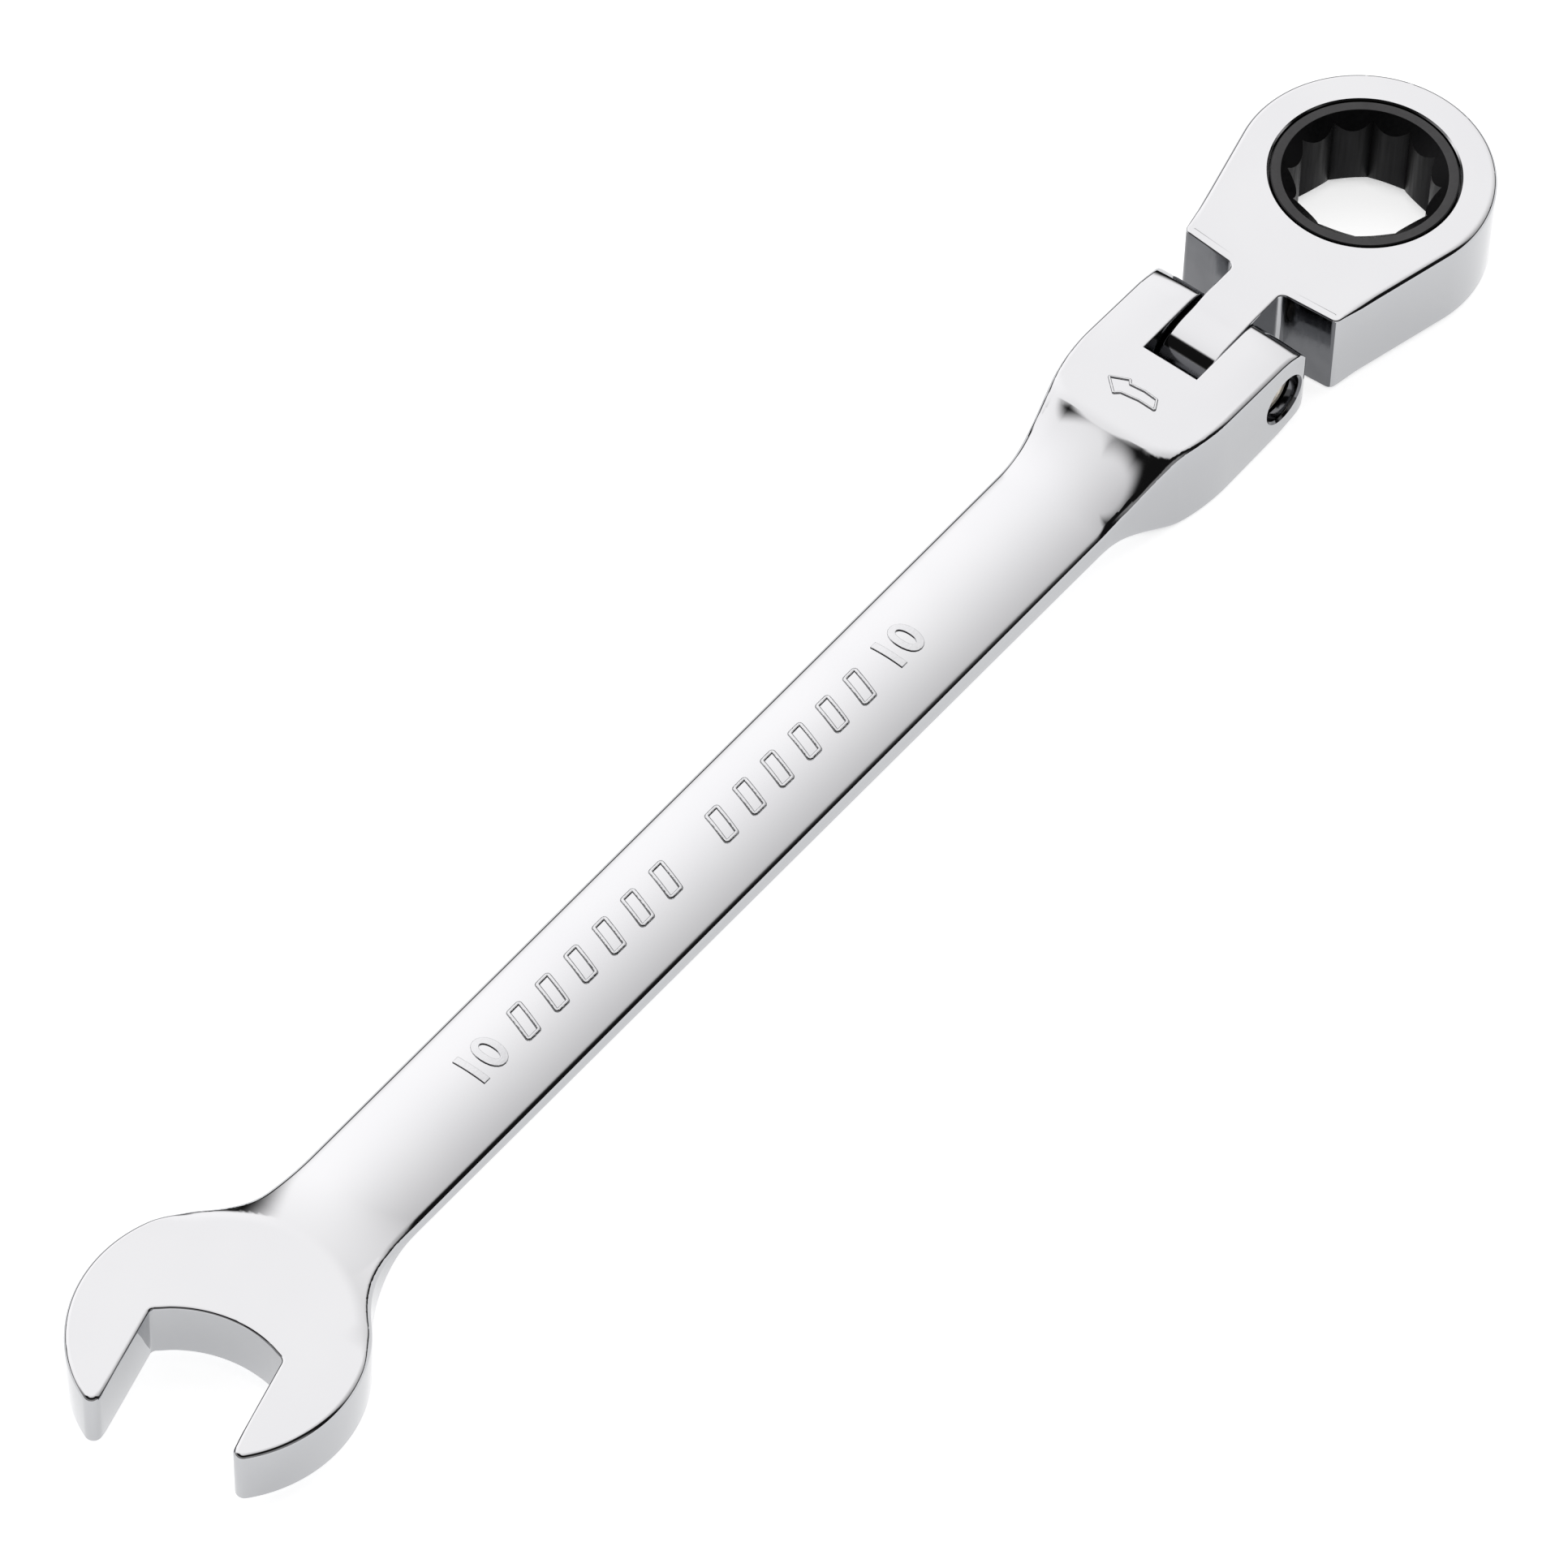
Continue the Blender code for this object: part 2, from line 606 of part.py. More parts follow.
def make_retaining_ring(material, head):
    """A square-section C that springs out into the groove in the bore."""
    bm = bmesh.new()
    low, high = RETAINER_TOP_Z - RETAINER_THICKNESS, RETAINER_TOP_Z
    inner, outer = RETAINER_INNER_RADIUS, RETAINER_OUTER_RADIUS
    corners = [(inner, low), (outer, low), (outer, high), (inner, high)]
    start = RETAINER_GAP / 2
    section = [
        bm.verts.new((radius * math.cos(start), radius * math.sin(start), height))
        for radius, height in corners
    ]
    face = bm.faces.new(section)
    bmesh.ops.spin(
        bm,
        geom=[face],
        cent=(0, 0, 0),
        axis=(0, 0, 1),
        angle=2 * math.pi - RETAINER_GAP,
        steps=56,
        use_duplicate=False,
    )
    bmesh.ops.remove_doubles(bm, verts=bm.verts, dist=1e-5)
    return object_from("retaining_ring", bm, material, (RING_X - PIN_X, 0, 0), head)


def make_drag_ring(material, gear):
    """The rubber ring that sits in the gear's groove."""
    centre = GEAR_BOTTOM_RADIUS - DRAG_GROOVE_DEPTH + DRAG_RING_WIRE + 0.02
    section = arc((centre, DRAG_RING_Z), DRAG_RING_WIRE, 0, 2 * math.pi, 8)[:-1]
    return object_from("drag_ring", turned(section, 48), material, (0, 0, 0), gear)


def make_pawl(material, head):
    """The toothed block that slides in its pocket and stops the gear turning anticlockwise."""
    middle = TEETH // 2
    reach = PAWL_HALF_WIDTH - POCKET_CLEARANCE
    line = tooth_points(middle - 3, middle + 4, PAWL_TOOTH_CLEARANCE)
    teeth = [point for point in line if abs(point[1]) < reach]
    back = [
        (teeth[-1][0] - PAWL_CHEEK, -PAWL_HALF_WIDTH),
        (PAWL_BACK_X, -PAWL_HALF_WIDTH),
        (PAWL_BACK_X, PAWL_HALF_WIDTH),
        (teeth[0][0] - PAWL_CHEEK, PAWL_HALF_WIDTH),
    ]
    bm = slab(teeth + back, (PAWL_TOP_Z - PAWL_BOTTOM_Z) / 2)
    bmesh.ops.translate(bm, vec=(0, 0, spring_height()), verts=bm.verts)
    pawl = object_from("pawl", bm, material, (RING_X - PIN_X, 0, 0), head)
    seat_front = PAWL_BACK_X + SPRING_SEAT_DEPTH
    seat = rod(SPRING_HOLE_RADIUS, PAWL_BACK_X - 1.0, seat_front, "X", 20)
    bmesh.ops.translate(seat, vec=(0, 0, spring_height()), verts=seat.verts)
    cut(pawl, object_from("pawl_spring_seat", seat, material, (RING_X - PIN_X, 0, 0), head))
    return pawl


def spring_height():
    """Height of the spring's axis, halfway up the pawl."""
    return (PAWL_TOP_Z + PAWL_BOTTOM_Z) / 2


def make_spring(material, head):
    """The coil between the pawl and the bottom of its hole."""
    start = SPRING_HOLE_END_X + SPRING_WIRE + SPRING_END_GAP
    end = PAWL_BACK_X + SPRING_SEAT_DEPTH - SPRING_WIRE - SPRING_END_GAP
    count = SPRING_TURNS * SPRING_TURN_POINTS
    curve = bpy.data.curves.new("pawl_spring", "CURVE")
    curve.dimensions = "3D"
    curve.bevel_depth = SPRING_WIRE * MM
    curve.bevel_resolution = 1
    curve.use_fill_caps = True
    spline = curve.splines.new("POLY")
    spline.points.add(count)
    for index, point in enumerate(spline.points):
        angle = 2 * math.pi * SPRING_TURNS * index / count
        x = start + (end - start) * index / count
        place = (x, SPRING_RADIUS * math.cos(angle), SPRING_RADIUS * math.sin(angle))
        point.co = (*[value * MM for value in place], 1)
    curve.materials.append(material)
    spring = bpy.data.objects.new("pawl_spring", curve)
    spring.location = ((RING_X - PIN_X) * MM, 0, spring_height() * MM)
    spring.parent = head
    bpy.context.scene.collection.objects.link(spring)
    return spring


# --- the hinge -----------------------------------------------------------------------------


def make_screw(material):
    """The pivot: a headed screw whose thread grips the far ear."""
    head_top = FORK_HALF_WIDTH - SCREW_HEAD_RECESS
    head_low = head_top - SCREW_HEAD_HEIGHT
    tip = -FORK_HALF_WIDTH + SCREW_TIP_RECESS
    profile = [
        (0, tip),
        (SCREW_SHANK_RADIUS - SCREW_EDGE, tip),
        (SCREW_SHANK_RADIUS, tip + SCREW_EDGE),
        (SCREW_SHANK_RADIUS, head_low),
        (SCREW_HEAD_RADIUS, head_low),
        (SCREW_HEAD_RADIUS, head_top - SCREW_EDGE),
        (SCREW_HEAD_RADIUS - SCREW_EDGE, head_top),
        (0, head_top),
    ]
    bm = turned(profile, 32)
    lay_along_y(bm)
    screw = object_from("pivot_screw", bm, material, (PIN_X, 0, MID_Z))
    key = rod(SCREW_HEX_RADIUS, head_top - SCREW_HEX_DEPTH, head_top + 1.0, "Y", 6)
    cut(screw, object_from("screw_key_socket", key, material, (PIN_X, 0, MID_Z)))
    return screw


def lay_along_y(bm):
    """Turns a body made about Z so that its axis lies along Y."""
    bmesh.ops.rotate(bm, cent=(0, 0, 0), matrix=Matrix.Rotation(-math.pi / 2, 3, "X"), verts=bm.verts)


def make_washer(name, side, material, head):
    """A thin wave washer that lies in the tongue's recess and rubs on the ear."""
    half = WASHER_THICKNESS / 2
    inner, outer = WASHER_HOLE_RADIUS, WASHER_RADIUS
    bm = turned([(inner, -half), (outer, -half), (outer, half), (inner, half)], 36)
    for vert in bm.verts:
        vert.co.z += WASHER_WAVE * math.sin(3 * math.atan2(vert.co.y, vert.co.x))
    lay_along_y(bm)
    offset = TONGUE_HALF_WIDTH - WASHER_RECESS_DEPTH + WASHER_GAP + WASHER_WAVE + half
    return object_from(name, bm, material, (0, side * offset, 0), head)


def main():
    clear_scene()
    chrome = finish_material("chrome_plated_steel", (0.86, 0.87, 0.88), 1.0, 0.08)
    head_chrome = finish_material("head_chrome_plated_steel", (0.86, 0.87, 0.88), 1.0, 0.08)
    black = finish_material("black_oxide_steel", (0.02, 0.02, 0.022), 0.8, 0.35)
    pawl_steel = finish_material("hardened_pawl_steel", (0.30, 0.30, 0.31), 1.0, 0.35)
    spring_steel = finish_material("spring_steel", (0.45, 0.45, 0.46), 1.0, 0.3)
    ring_steel = finish_material("phosphated_ring_steel", (0.06, 0.06, 0.065), 0.9, 0.4)
    rubber = finish_material("nitrile_rubber", (0.015, 0.015, 0.015), 0.0, 0.7)
    screw_steel = finish_material("zinc_plated_screw_steel", (0.52, 0.50, 0.47), 1.0, 0.3)
    washer_steel = finish_material("tempered_washer_steel", (0.40, 0.39, 0.38), 1.0, 0.35)
    make_handle(chrome)
    head = make_head(head_chrome)
    gear = make_gear(black, head)
    make_drag_ring(rubber, gear)
    make_pawl(pawl_steel, head)
    make_spring(spring_steel, head)
    make_retaining_ring(ring_steel, head)
    make_screw(screw_steel)
    make_washer("friction_washer_left", 1, washer_steel, head)
    make_washer("friction_washer_right", -1, washer_steel, head)


main()
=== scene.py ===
# %% [markdown]
# # A chrome-plated flex-head ratchet wrench
#
# The wrench has an open jaw at one end and, at the other, a ring that ratchets and tips on a hinge.
# Its shape comes from drop forging, its shine from polishing and chrome plating, and its black ring
# from an oxide bath. This lesson takes the plain CAD solids, keeps their sizes, and rebuilds what
# the eye rests on: soft rims, milled faces, threads, raised marks and the finishes.

import json
import math

import bmesh
import bpy
from mathutils import Matrix, Vector


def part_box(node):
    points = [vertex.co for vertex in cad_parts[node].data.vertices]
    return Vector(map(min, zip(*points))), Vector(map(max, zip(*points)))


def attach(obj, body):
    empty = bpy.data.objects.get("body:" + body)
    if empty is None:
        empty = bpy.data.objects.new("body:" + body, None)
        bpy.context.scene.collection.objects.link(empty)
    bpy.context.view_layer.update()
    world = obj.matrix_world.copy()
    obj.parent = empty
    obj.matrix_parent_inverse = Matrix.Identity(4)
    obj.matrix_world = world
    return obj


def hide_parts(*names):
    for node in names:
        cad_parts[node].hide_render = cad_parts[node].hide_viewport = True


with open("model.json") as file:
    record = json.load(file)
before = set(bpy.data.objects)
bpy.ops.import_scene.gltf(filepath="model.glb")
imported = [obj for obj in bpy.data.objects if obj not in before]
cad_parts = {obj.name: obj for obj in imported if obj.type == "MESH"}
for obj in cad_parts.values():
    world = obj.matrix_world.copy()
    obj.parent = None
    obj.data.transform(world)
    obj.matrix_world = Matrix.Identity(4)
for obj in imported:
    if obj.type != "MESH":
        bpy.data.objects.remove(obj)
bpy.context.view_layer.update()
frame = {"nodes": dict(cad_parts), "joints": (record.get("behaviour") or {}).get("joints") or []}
MM = 0.001

# %% [markdown]
# ## The driving sizes
#
# The hinge pin, the ring's centre and the plane that halves the wrench can be read from the frame,
# so that nothing drifts if the CAD changes. The forging's own sizes are the driving dimensions of
# its design, in millimetres, and every outline below is worked out from them.

# %% Sizes from the frame
joints = {joint["name"]: joint for joint in frame["joints"]}
PIN_X, _, MID_Z = (value / MM for value in joints["head_flex"]["pos_m"])
RING_X = joints["gear_turn"]["pos_m"][0] / MM
handle_low, handle_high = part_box("handle")
head_low, head_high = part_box("ratchet_head")
FORK_NOSE_X = handle_high.x / MM
FORK_HALF_THICKNESS = (handle_high.z - handle_low.z) / MM / 2
HEAD_HALF_THICKNESS = (head_high.z - head_low.z) / MM / 2
HEAD_RADIUS = head_high.x / MM - RING_X
PIN_PLACE = (PIN_X, 0.0, MID_Z)
RING_PLACE = (RING_X, 0.0, MID_Z)
HANDLE_PLACE = (0.0, 0.0, MID_Z)
print(f"pin x {PIN_X:.2f}, ring x {RING_X:.2f}, mid z {MID_Z:.2f}, head radius {HEAD_RADIUS:.2f} mm")

# %% The forging's own sizes
FORK_HALF_WIDTH = 6.75
FORK_NOSE_RADIUS = 6.5
PAD_END_X = -3.7
PAD_CORNER_RADIUS = 3.4
PAD_FILLET_LENGTH = 7.2
FORK_TAPER_FRONT_X = 2.3
FORK_TAPER_BACK_X = -9.7
SLOT_FLOOR_X = 3.7
SLOT_HALF_WIDTH = 2.42

SHANK_HALF_WIDTH = 4.85
SHANK_EDGE_HALF_FORK = 1.12
SHANK_EDGE_HALF_JAW = 0.58
SHANK_CROWN = 1.15

JAW_CENTRE = (-105.5, -0.8)
JAW_RADIUS = 10.6
JAW_ANGLE = math.radians(15)
JAW_HALF_GAP = 5.03
JAW_TIP_RADIUS = 0.7
JAW_HALF_THICKNESS = 2.67
JAW_FLAT_RADIUS = 9.8
JAW_FILLET_LENGTH = 5.0
THROAT_DEPTH = 1.2
THROAT_RADIUS = 9.4
THROAT_CORNER_RADIUS = 0.5
THROAT_REACH = JAW_HALF_GAP - 1.2
NECK_FILLET_RIGHT = 12.0
NECK_FILLET_LEFT = 6.0

SHOULDER_X = 13.05
SHOULDER_ROOT_X = 13.4
SHOULDER_HALF_WIDTH = 7.05
SHOULDER_CORNER_RADIUS = 0.6
TONGUE_HALF_WIDTH = 2.2
TONGUE_END_RADIUS = 4.4
TONGUE_ROOT_RADIUS = 0.6

# %% [markdown]
# ## The camera
#
# The view looks down at about 53 degrees from the open end's right-hand side, through a long lens,
# so that the far ring hardly shrinks. The camera could be aimed with a constraint, but three axes
# written as a matrix say exactly how it looks and rolls.

# %% Place the camera
CAMERA_AZIMUTH = -0.9281
CAMERA_ELEVATION = 0.9229
CAMERA_ROLL = 0.0362
CAMERA_DISTANCE = 0.75076
CAMERA_TARGET = Vector((-0.0423, -0.00032, 0.0042))


def aimed_matrix(azimuth, elevation, roll, target, distance):
    right = Vector((math.cos(azimuth), math.sin(azimuth), 0.0))
    back = Vector(
        (
            math.sin(azimuth) * math.cos(elevation),
            -math.cos(azimuth) * math.cos(elevation),
            math.sin(elevation),
        )
    )
    up = back.cross(right)
    rolled_right = right * math.cos(roll) + up * math.sin(roll)
    rolled_up = up * math.cos(roll) - right * math.sin(roll)
    matrix = Matrix((rolled_right, rolled_up, back)).transposed().to_4x4()
    matrix.translation = target + back * distance
    return matrix


camera_data = bpy.data.cameras.new("studio_camera")
camera_data.lens = 240.0
camera_data.sensor_width = 36.0
camera_data.clip_start = 0.01
camera = bpy.data.objects.new("studio_camera", camera_data)
camera.matrix_world = aimed_matrix(
    CAMERA_AZIMUTH, CAMERA_ELEVATION, CAMERA_ROLL, CAMERA_TARGET, CAMERA_DISTANCE
)
bpy.context.scene.collection.objects.link(camera)
bpy.context.scene.camera = camera
bpy.context.scene.view_settings.view_transform = "Standard"
print("camera at", [round(value, 3) for value in camera.location])

# %% [markdown]
# ## One helper for nodes, one for colours
#
# Chrome has hardly any colour of its own, and neither has the studio, so nearly everything below is
# said with a few shader nodes. One function adds a node with its settings and its links, and one
# turns a hex colour, which people know from paint charts, into the linear values that Blender mixes.


# %% Node and colour helpers
def to_linear(hex_colour, alpha=1.0):
    """An sRGB hex colour as Blender's linear values."""
    channels = [int(hex_colour[start : start + 2], 16) / 255 for start in (1, 3, 5)]
    linear = [c / 12.92 if c <= 0.04045 else ((c + 0.055) / 1.055) ** 2.4 for c in channels]
    return (*linear, alpha)


def add_node(tree, kind, settings=None, **inputs):
    """Adds a node, sets its properties, then sets or links each named or numbered input."""
    node = tree.nodes.new(kind)
    for name, value in (settings or {}).items():
        setattr(node, name, value)
    for key, value in inputs.items():
        socket = node.inputs[int(key[3:])] if key.startswith("in_") else node.inputs[key.replace("_", " ")]
        if isinstance(value, bpy.types.NodeSocket):
            tree.links.new(value, socket)
        else:
            socket.default_value = value
    return node


def empty_tree(owner):
    owner.use_nodes = True
    owner.node_tree.nodes.clear()
    return owner.node_tree


# %% [markdown]
# ## The studio: a bright canopy and a lit table
#
# A mirror shows nothing but its surroundings, so lighting chrome means building what it sees. Lamps
# would leave small hot spots. A large white canopy, open on the camera's side, gives broad soft
# tones, and the dark opening draws the thin black lines along the rims that say "polished metal".
# The canopy is drawn into the world's shader: it covers the top all round and comes down to the
# table on the far side. A grey card behind the camera keeps the rims that face it from going wholly
# black. The table is a pale lit surface, as photographers use for cut-outs.

# %% Draw the canopy
CANOPY_AZIMUTH = math.radians(33)  # middle of the side where the canopy comes down
CANOPY_DARK = 0.012
CARD_AZIMUTH = math.radians(-165)  # middle of the grey card behind the camera
CARD_LIGHT = 0.38
CANOPY_LEAST = 0.93
CANOPY_GLOW = 1.17
GLOW_DIRECTION = (0.31, 0.85, 0.42)  # where the canopy is brightest
EASED = {"interpolation_type": "SMOOTHSTEP"}


def draw_canopy():
    world = bpy.data.worlds.new("canopy")
    bpy.context.scene.world = world
    tree = empty_tree(world)
    direction = add_node(tree, "ShaderNodeTexCoord").outputs["Generated"]
    parts = add_node(tree, "ShaderNodeSeparateXYZ", Vector=direction)
    flat = add_node(tree, "ShaderNodeCombineXYZ", X=parts.outputs["X"], Y=parts.outputs["Y"])
    level = add_node(tree, "ShaderNodeVectorMath", {"operation": "NORMALIZE"}, in_0=flat.outputs[0])
    middle = (math.cos(CANOPY_AZIMUTH), math.sin(CANOPY_AZIMUTH), 0.0)
    facing = add_node(
        tree, "ShaderNodeVectorMath", {"operation": "DOT_PRODUCT"}, in_0=level.outputs[0], in_1=middle
    ).outputs["Value"]
    behind = (math.cos(CARD_AZIMUTH), math.sin(CARD_AZIMUTH), 0.0)
    facing_back = add_node(
        tree, "ShaderNodeVectorMath", {"operation": "DOT_PRODUCT"}, in_0=level.outputs[0], in_1=behind
    ).outputs["Value"]
    height = parts.outputs["Z"]
    eased = {}
    for name, value, low, high in (
        ("canopy side", facing, -0.08, 0.16),
        ("above the table", height, 0.14, 0.36),
        ("overhead", height, 0.90, 0.965),
        ("card side", facing_back, 0.0, 0.35),
        ("below the top", height, 0.60, 0.45),
    ):
        fade = add_node(tree, "ShaderNodeMapRange", EASED, Value=value, From_Min=low, From_Max=high)
        eased[name] = fade.outputs["Result"]
    product = {"operation": "MULTIPLY"}
    wall = add_node(tree, "ShaderNodeMath", product, in_0=eased["canopy side"], in_1=eased["above the table"])
    share = add_node(
        tree, "ShaderNodeMath", {"operation": "MAXIMUM"}, in_0=wall.outputs[0], in_1=eased["overhead"]
    )
    card = add_node(tree, "ShaderNodeMath", product, in_0=eased["card side"], in_1=eased["below the top"])
    glow = add_node(
        tree, "ShaderNodeVectorMath", {"operation": "DOT_PRODUCT"}, in_0=direction, in_1=GLOW_DIRECTION
    ).outputs["Value"]
    level_of_light = add_node(
        tree, "ShaderNodeMath", {"operation": "MULTIPLY_ADD"}, in_0=glow, in_1=CANOPY_GLOW, in_2=CANOPY_LEAST
    ).outputs[0]
    dark_side = add_node(
        tree, "ShaderNodeMapRange", Value=card.outputs[0], To_Min=CANOPY_DARK, To_Max=CARD_LIGHT
    ).outputs["Result"]
    strength = add_node(
        tree, "ShaderNodeMapRange", Value=share.outputs[0], To_Min=dark_side, To_Max=level_of_light
    ).outputs["Result"]
    background = add_node(
        tree, "ShaderNodeBackground", Color=to_linear("#FFFDFC"), Strength=strength
    )
    add_node(tree, "ShaderNodeOutputWorld", Surface=background.outputs[0])


draw_canopy()

# %% The lit table
# The table glows evenly, but under the tool ambient occlusion dims its glow: a painted contact shadow.
TABLE_HALF_SIZE = 2.5
TABLE_GLOW = 0.80
PAINTED_SHADOW_REACH = 0.002  # how near a body must be for the painted shadow to dim the glow beneath it


def make_table():
    """A flat sheet whose glow is dimmed where a body stands close above it: a painted contact shadow."""
    bm = bmesh.new()
    bmesh.ops.create_grid(bm, x_segments=2, y_segments=2, size=TABLE_HALF_SIZE)
    mesh = bpy.data.meshes.new("table")
    bm.to_mesh(mesh)
    bm.free()
    table = bpy.data.objects.new("table", mesh)
    bpy.context.scene.collection.objects.link(table)
    material = bpy.data.materials.new("opal_acrylic_lit_from_below_with_painted_shadow")
    tree = empty_tree(material)
    # Painted shadow: ambient occlusion lowers the glow where the tool stands close above the table.
    open_share_for_painted_shadow = add_node(
        tree, "ShaderNodeAmbientOcclusion", {"samples": 8}, Distance=PAINTED_SHADOW_REACH
    ).outputs["AO"]
    glow = add_node(
        tree,
        "ShaderNodeMapRange",
        EASED,
        Value=open_share_for_painted_shadow,
        From_Min=0.0,
        From_Max=0.3,
        To_Max=TABLE_GLOW,
    ).outputs["Result"]
    shader = add_node(
        tree,
        "ShaderNodeBsdfPrincipled",
        Base_Color=to_linear("#C8C9CA"),
        Roughness=0.6,
        Specular_IOR_Level=0.0,
        Emission_Color=to_linear("#FFFFFF"),
        Emission_Strength=glow,
    )
    add_node(tree, "ShaderNodeOutputMaterial", Surface=shader.outputs[0])
    mesh.materials.append(material)


make_table()
print("table spans", round(TABLE_HALF_SIZE * 2, 1), "m")

# %% [markdown]
# ## Finishes
#
# Each finish below starts from the real process. Plating copies the polished steel under it, so
# chrome keeps the faint swell of the polishing wheel and a very fine grain. Milled faces keep the
# cutter's streaks under the chrome. The ratchet ring is blackened in a hot oxide bath, which stays
# slightly rough. A pattern's scale is worked out from its size in millimetres.


# %% A finish from a few layers
def waves_per_metre(size_mm):
    """Texture scale that gives features of about this size."""
    return 1.0 / (size_mm * MM)


def metal_finish(name, colour, roughness, grain_mm, grain_depth_mm, streak=None, metallic=1.0):
    """Metal with grain in its relief and its roughness, and streaks along an axis if asked."""
    material = bpy.data.materials.new(name)
    tree = empty_tree(material)
    place = add_node(tree, "ShaderNodeTexCoord").outputs["Object"]
    stretch = (1.0, 1.0, 1.0) if streak is None else streak
    mapped = add_node(tree, "ShaderNodeMapping", Vector=place, Scale=stretch).outputs[0]
    grain = add_node(
        tree, "ShaderNodeTexNoise", Vector=mapped, Scale=waves_per_metre(grain_mm), Detail=4.0
    ).outputs["Fac"]
    swell = add_node(
        tree, "ShaderNodeTexNoise", Vector=place, Scale=waves_per_metre(grain_mm * 9), Detail=2.0
    ).outputs["Fac"]
    low, high = roughness
    rough = add_node(
        tree, "ShaderNodeMapRange", Value=grain, From_Min=0.3, From_Max=0.7, To_Min=low, To_Max=high
    ).outputs["Result"]
    tint = add_node(
        tree,
        "ShaderNodeMix",
        {"data_type": "RGBA"},
        in_0=swell,
        in_6=to_linear(colour[0]),
        in_7=to_linear(colour[1]),
    ).outputs[2]
    relief = add_node(
        tree, "ShaderNodeBump", Height=grain, Strength=1.0, Distance=grain_depth_mm * MM
    ).outputs["Normal"]
    shader = add_node(
        tree,
        "ShaderNodeBsdfPrincipled",
        Base_Color=tint,
        Metallic=metallic,
        Roughness=rough,
        Normal=relief,
    )
    add_node(tree, "ShaderNodeOutputMaterial", Surface=shader.outputs[0])
    return material


# Bright chrome on polished steel: cool white, mirror sharp, with a faint swell that bends edges.
bright_chrome = metal_finish(
    "bright_chrome_plate_polished", ("#B1B2B5", "#B6B7B9"), (0.035, 0.07), 1.1, 0.00035
)
# Chrome over a milled face: the same metal with the cutter's upright streaks, its colour darkened as painted
# shade for the faces in the hinge's slot and gap.
milled_chrome_with_painted_shade = metal_finish(
    "chrome_plate_over_milling_with_painted_shade", ("#5C5D60", "#737477"), (0.07, 0.20), 0.35, 0.004, (1.0, 1.0, 0.06)
)
# Chrome over the die's raised marks: the unpolished steel underneath makes it glitter.
marked_chrome = metal_finish(
    "chrome_plate_over_die_marks", ("#A9AAAD", "#B6B7B9"), (0.05, 0.14), 0.30, 0.030
)
# Hot black oxide on machined steel: nearly black, with a soft grey sheen.
black_oxide = metal_finish(
    "black_oxide_on_machined_steel", ("#333334", "#3D3D3E"), (0.28, 0.42), 0.16, 0.0015
)
# The same oxide on the broached socket: duller, with upright lines from the broach, and darker as painted
# shade inside the socket.
oxide_bore_with_painted_shade = metal_finish(
    "black_oxide_on_broached_socket_with_painted_shade", ("#19191A", "#222223"), (0.38, 0.55), 0.22, 0.004, (1.0, 1.0, 0.05)
)
# Ground and hardened tool steel: mid grey with fine scratches.
ground_steel = metal_finish(
    "ground_tool_steel", ("#8C8C8E", "#A0A0A3"), (0.20, 0.38), 0.12, 0.002, (1.0, 0.1, 1.0)
)
# Drawn spring wire: smooth bright grey.
drawn_wire = metal_finish("drawn_spring_wire", ("#A5A5A8", "#B5B5B8"), (0.15, 0.28), 0.08, 0.001)
# Phosphated strip: dark, matte and slightly crystalline.
phosphate = metal_finish("phosphate_coated_strip", ("#3A3A3B", "#4A4A4C"), (0.40, 0.60), 0.10, 0.003)
# Dull zinc plate on a machine screw: warm grey with a cloudy grain.
zinc_plate = metal_finish("dull_zinc_plate", ("#BDB6A9", "#DBD5CA"), (0.35, 0.55), 0.22, 0.004)
# Tempered spring washer: straw-tinted steel with rolling lines.
tempered_strip = metal_finish(
    "tempered_rolled_strip", ("#8F8878", "#A39D90"), (0.22, 0.36), 0.15, 0.002, (0.15, 1.0, 1.0)
)
# Moulded nitrile rubber: black, matte, with a very fine mould texture.
nitrile_rubber = metal_finish(
    "moulded_nitrile_rubber", ("#101010", "#191919"), (0.60, 0.75), 0.20, 0.004, metallic=0.0
)
print("materials now:", len(bpy.data.materials))

# %% [markdown]
# ## Outlines
#
# Seen from above, the forging is straight lines joined by arcs. An arc of points and a rounded
# corner are all the drawing tools it needs. A curve object could hold the same outline, but plain
# points go straight into a bmesh, where the solid is made.


# %% Arcs and rounded corners
def arc(centre, radius, start, end, steps):
    points = []
    for i in range(steps + 1):
        angle = start + (end - start) * i / steps
        points.append((centre[0] + radius * math.cos(angle), centre[1] + radius * math.sin(angle)))
    return points


def shortest_turn(start, end):
    """The turn between two angles, at most half a circle either way."""
    return (end - start + math.pi) % (2 * math.pi) - math.pi


def rounded_corner(before, corner, after, radius, steps=8):
    to_before = (Vector(before) - Vector(corner)).normalized()
    to_after = (Vector(after) - Vector(corner)).normalized()
    half = to_before.angle(to_after) / 2
    run = radius / math.tan(half)
    centre = Vector(corner) + (to_before + to_after).normalized() * radius / math.sin(half)
    begin = Vector(corner) + to_before * run - centre
    finish = Vector(corner) + to_after * run - centre
    start = math.atan2(begin.y, begin.x)
    turn = shortest_turn(start, math.atan2(finish.y, finish.x))
    return arc(centre, radius, start, start + turn, steps)


# %% [markdown]
# ## The blank and its soft rims
#
# A drop forging leaves its dies with upright sides and faces that rise and fall. To make one, a flat
# slab is extruded from the outline, rings are inset just inside its rim, and planes cut it across.
# Then each point takes the height that the design gives its place. The inset rings follow a quarter
# circle, so every rim is round. A Bevel modifier would struggle where the rim meets the sweeps.

# %% Slabs and their round rims
WIDEST_RIM = 0.66
RIM_STEPS = 8
RING_DEPTHS = [WIDEST_RIM * (1 - math.cos(math.pi / 2 * i / RIM_STEPS)) for i in range(1, RIM_STEPS + 1)]


def rim_drop(depth, radius):
    """How far a round rim has fallen at a distance in from the edge."""
    inward = max(radius - depth, 0.0)
    return radius - math.sqrt(radius * radius - inward * inward)


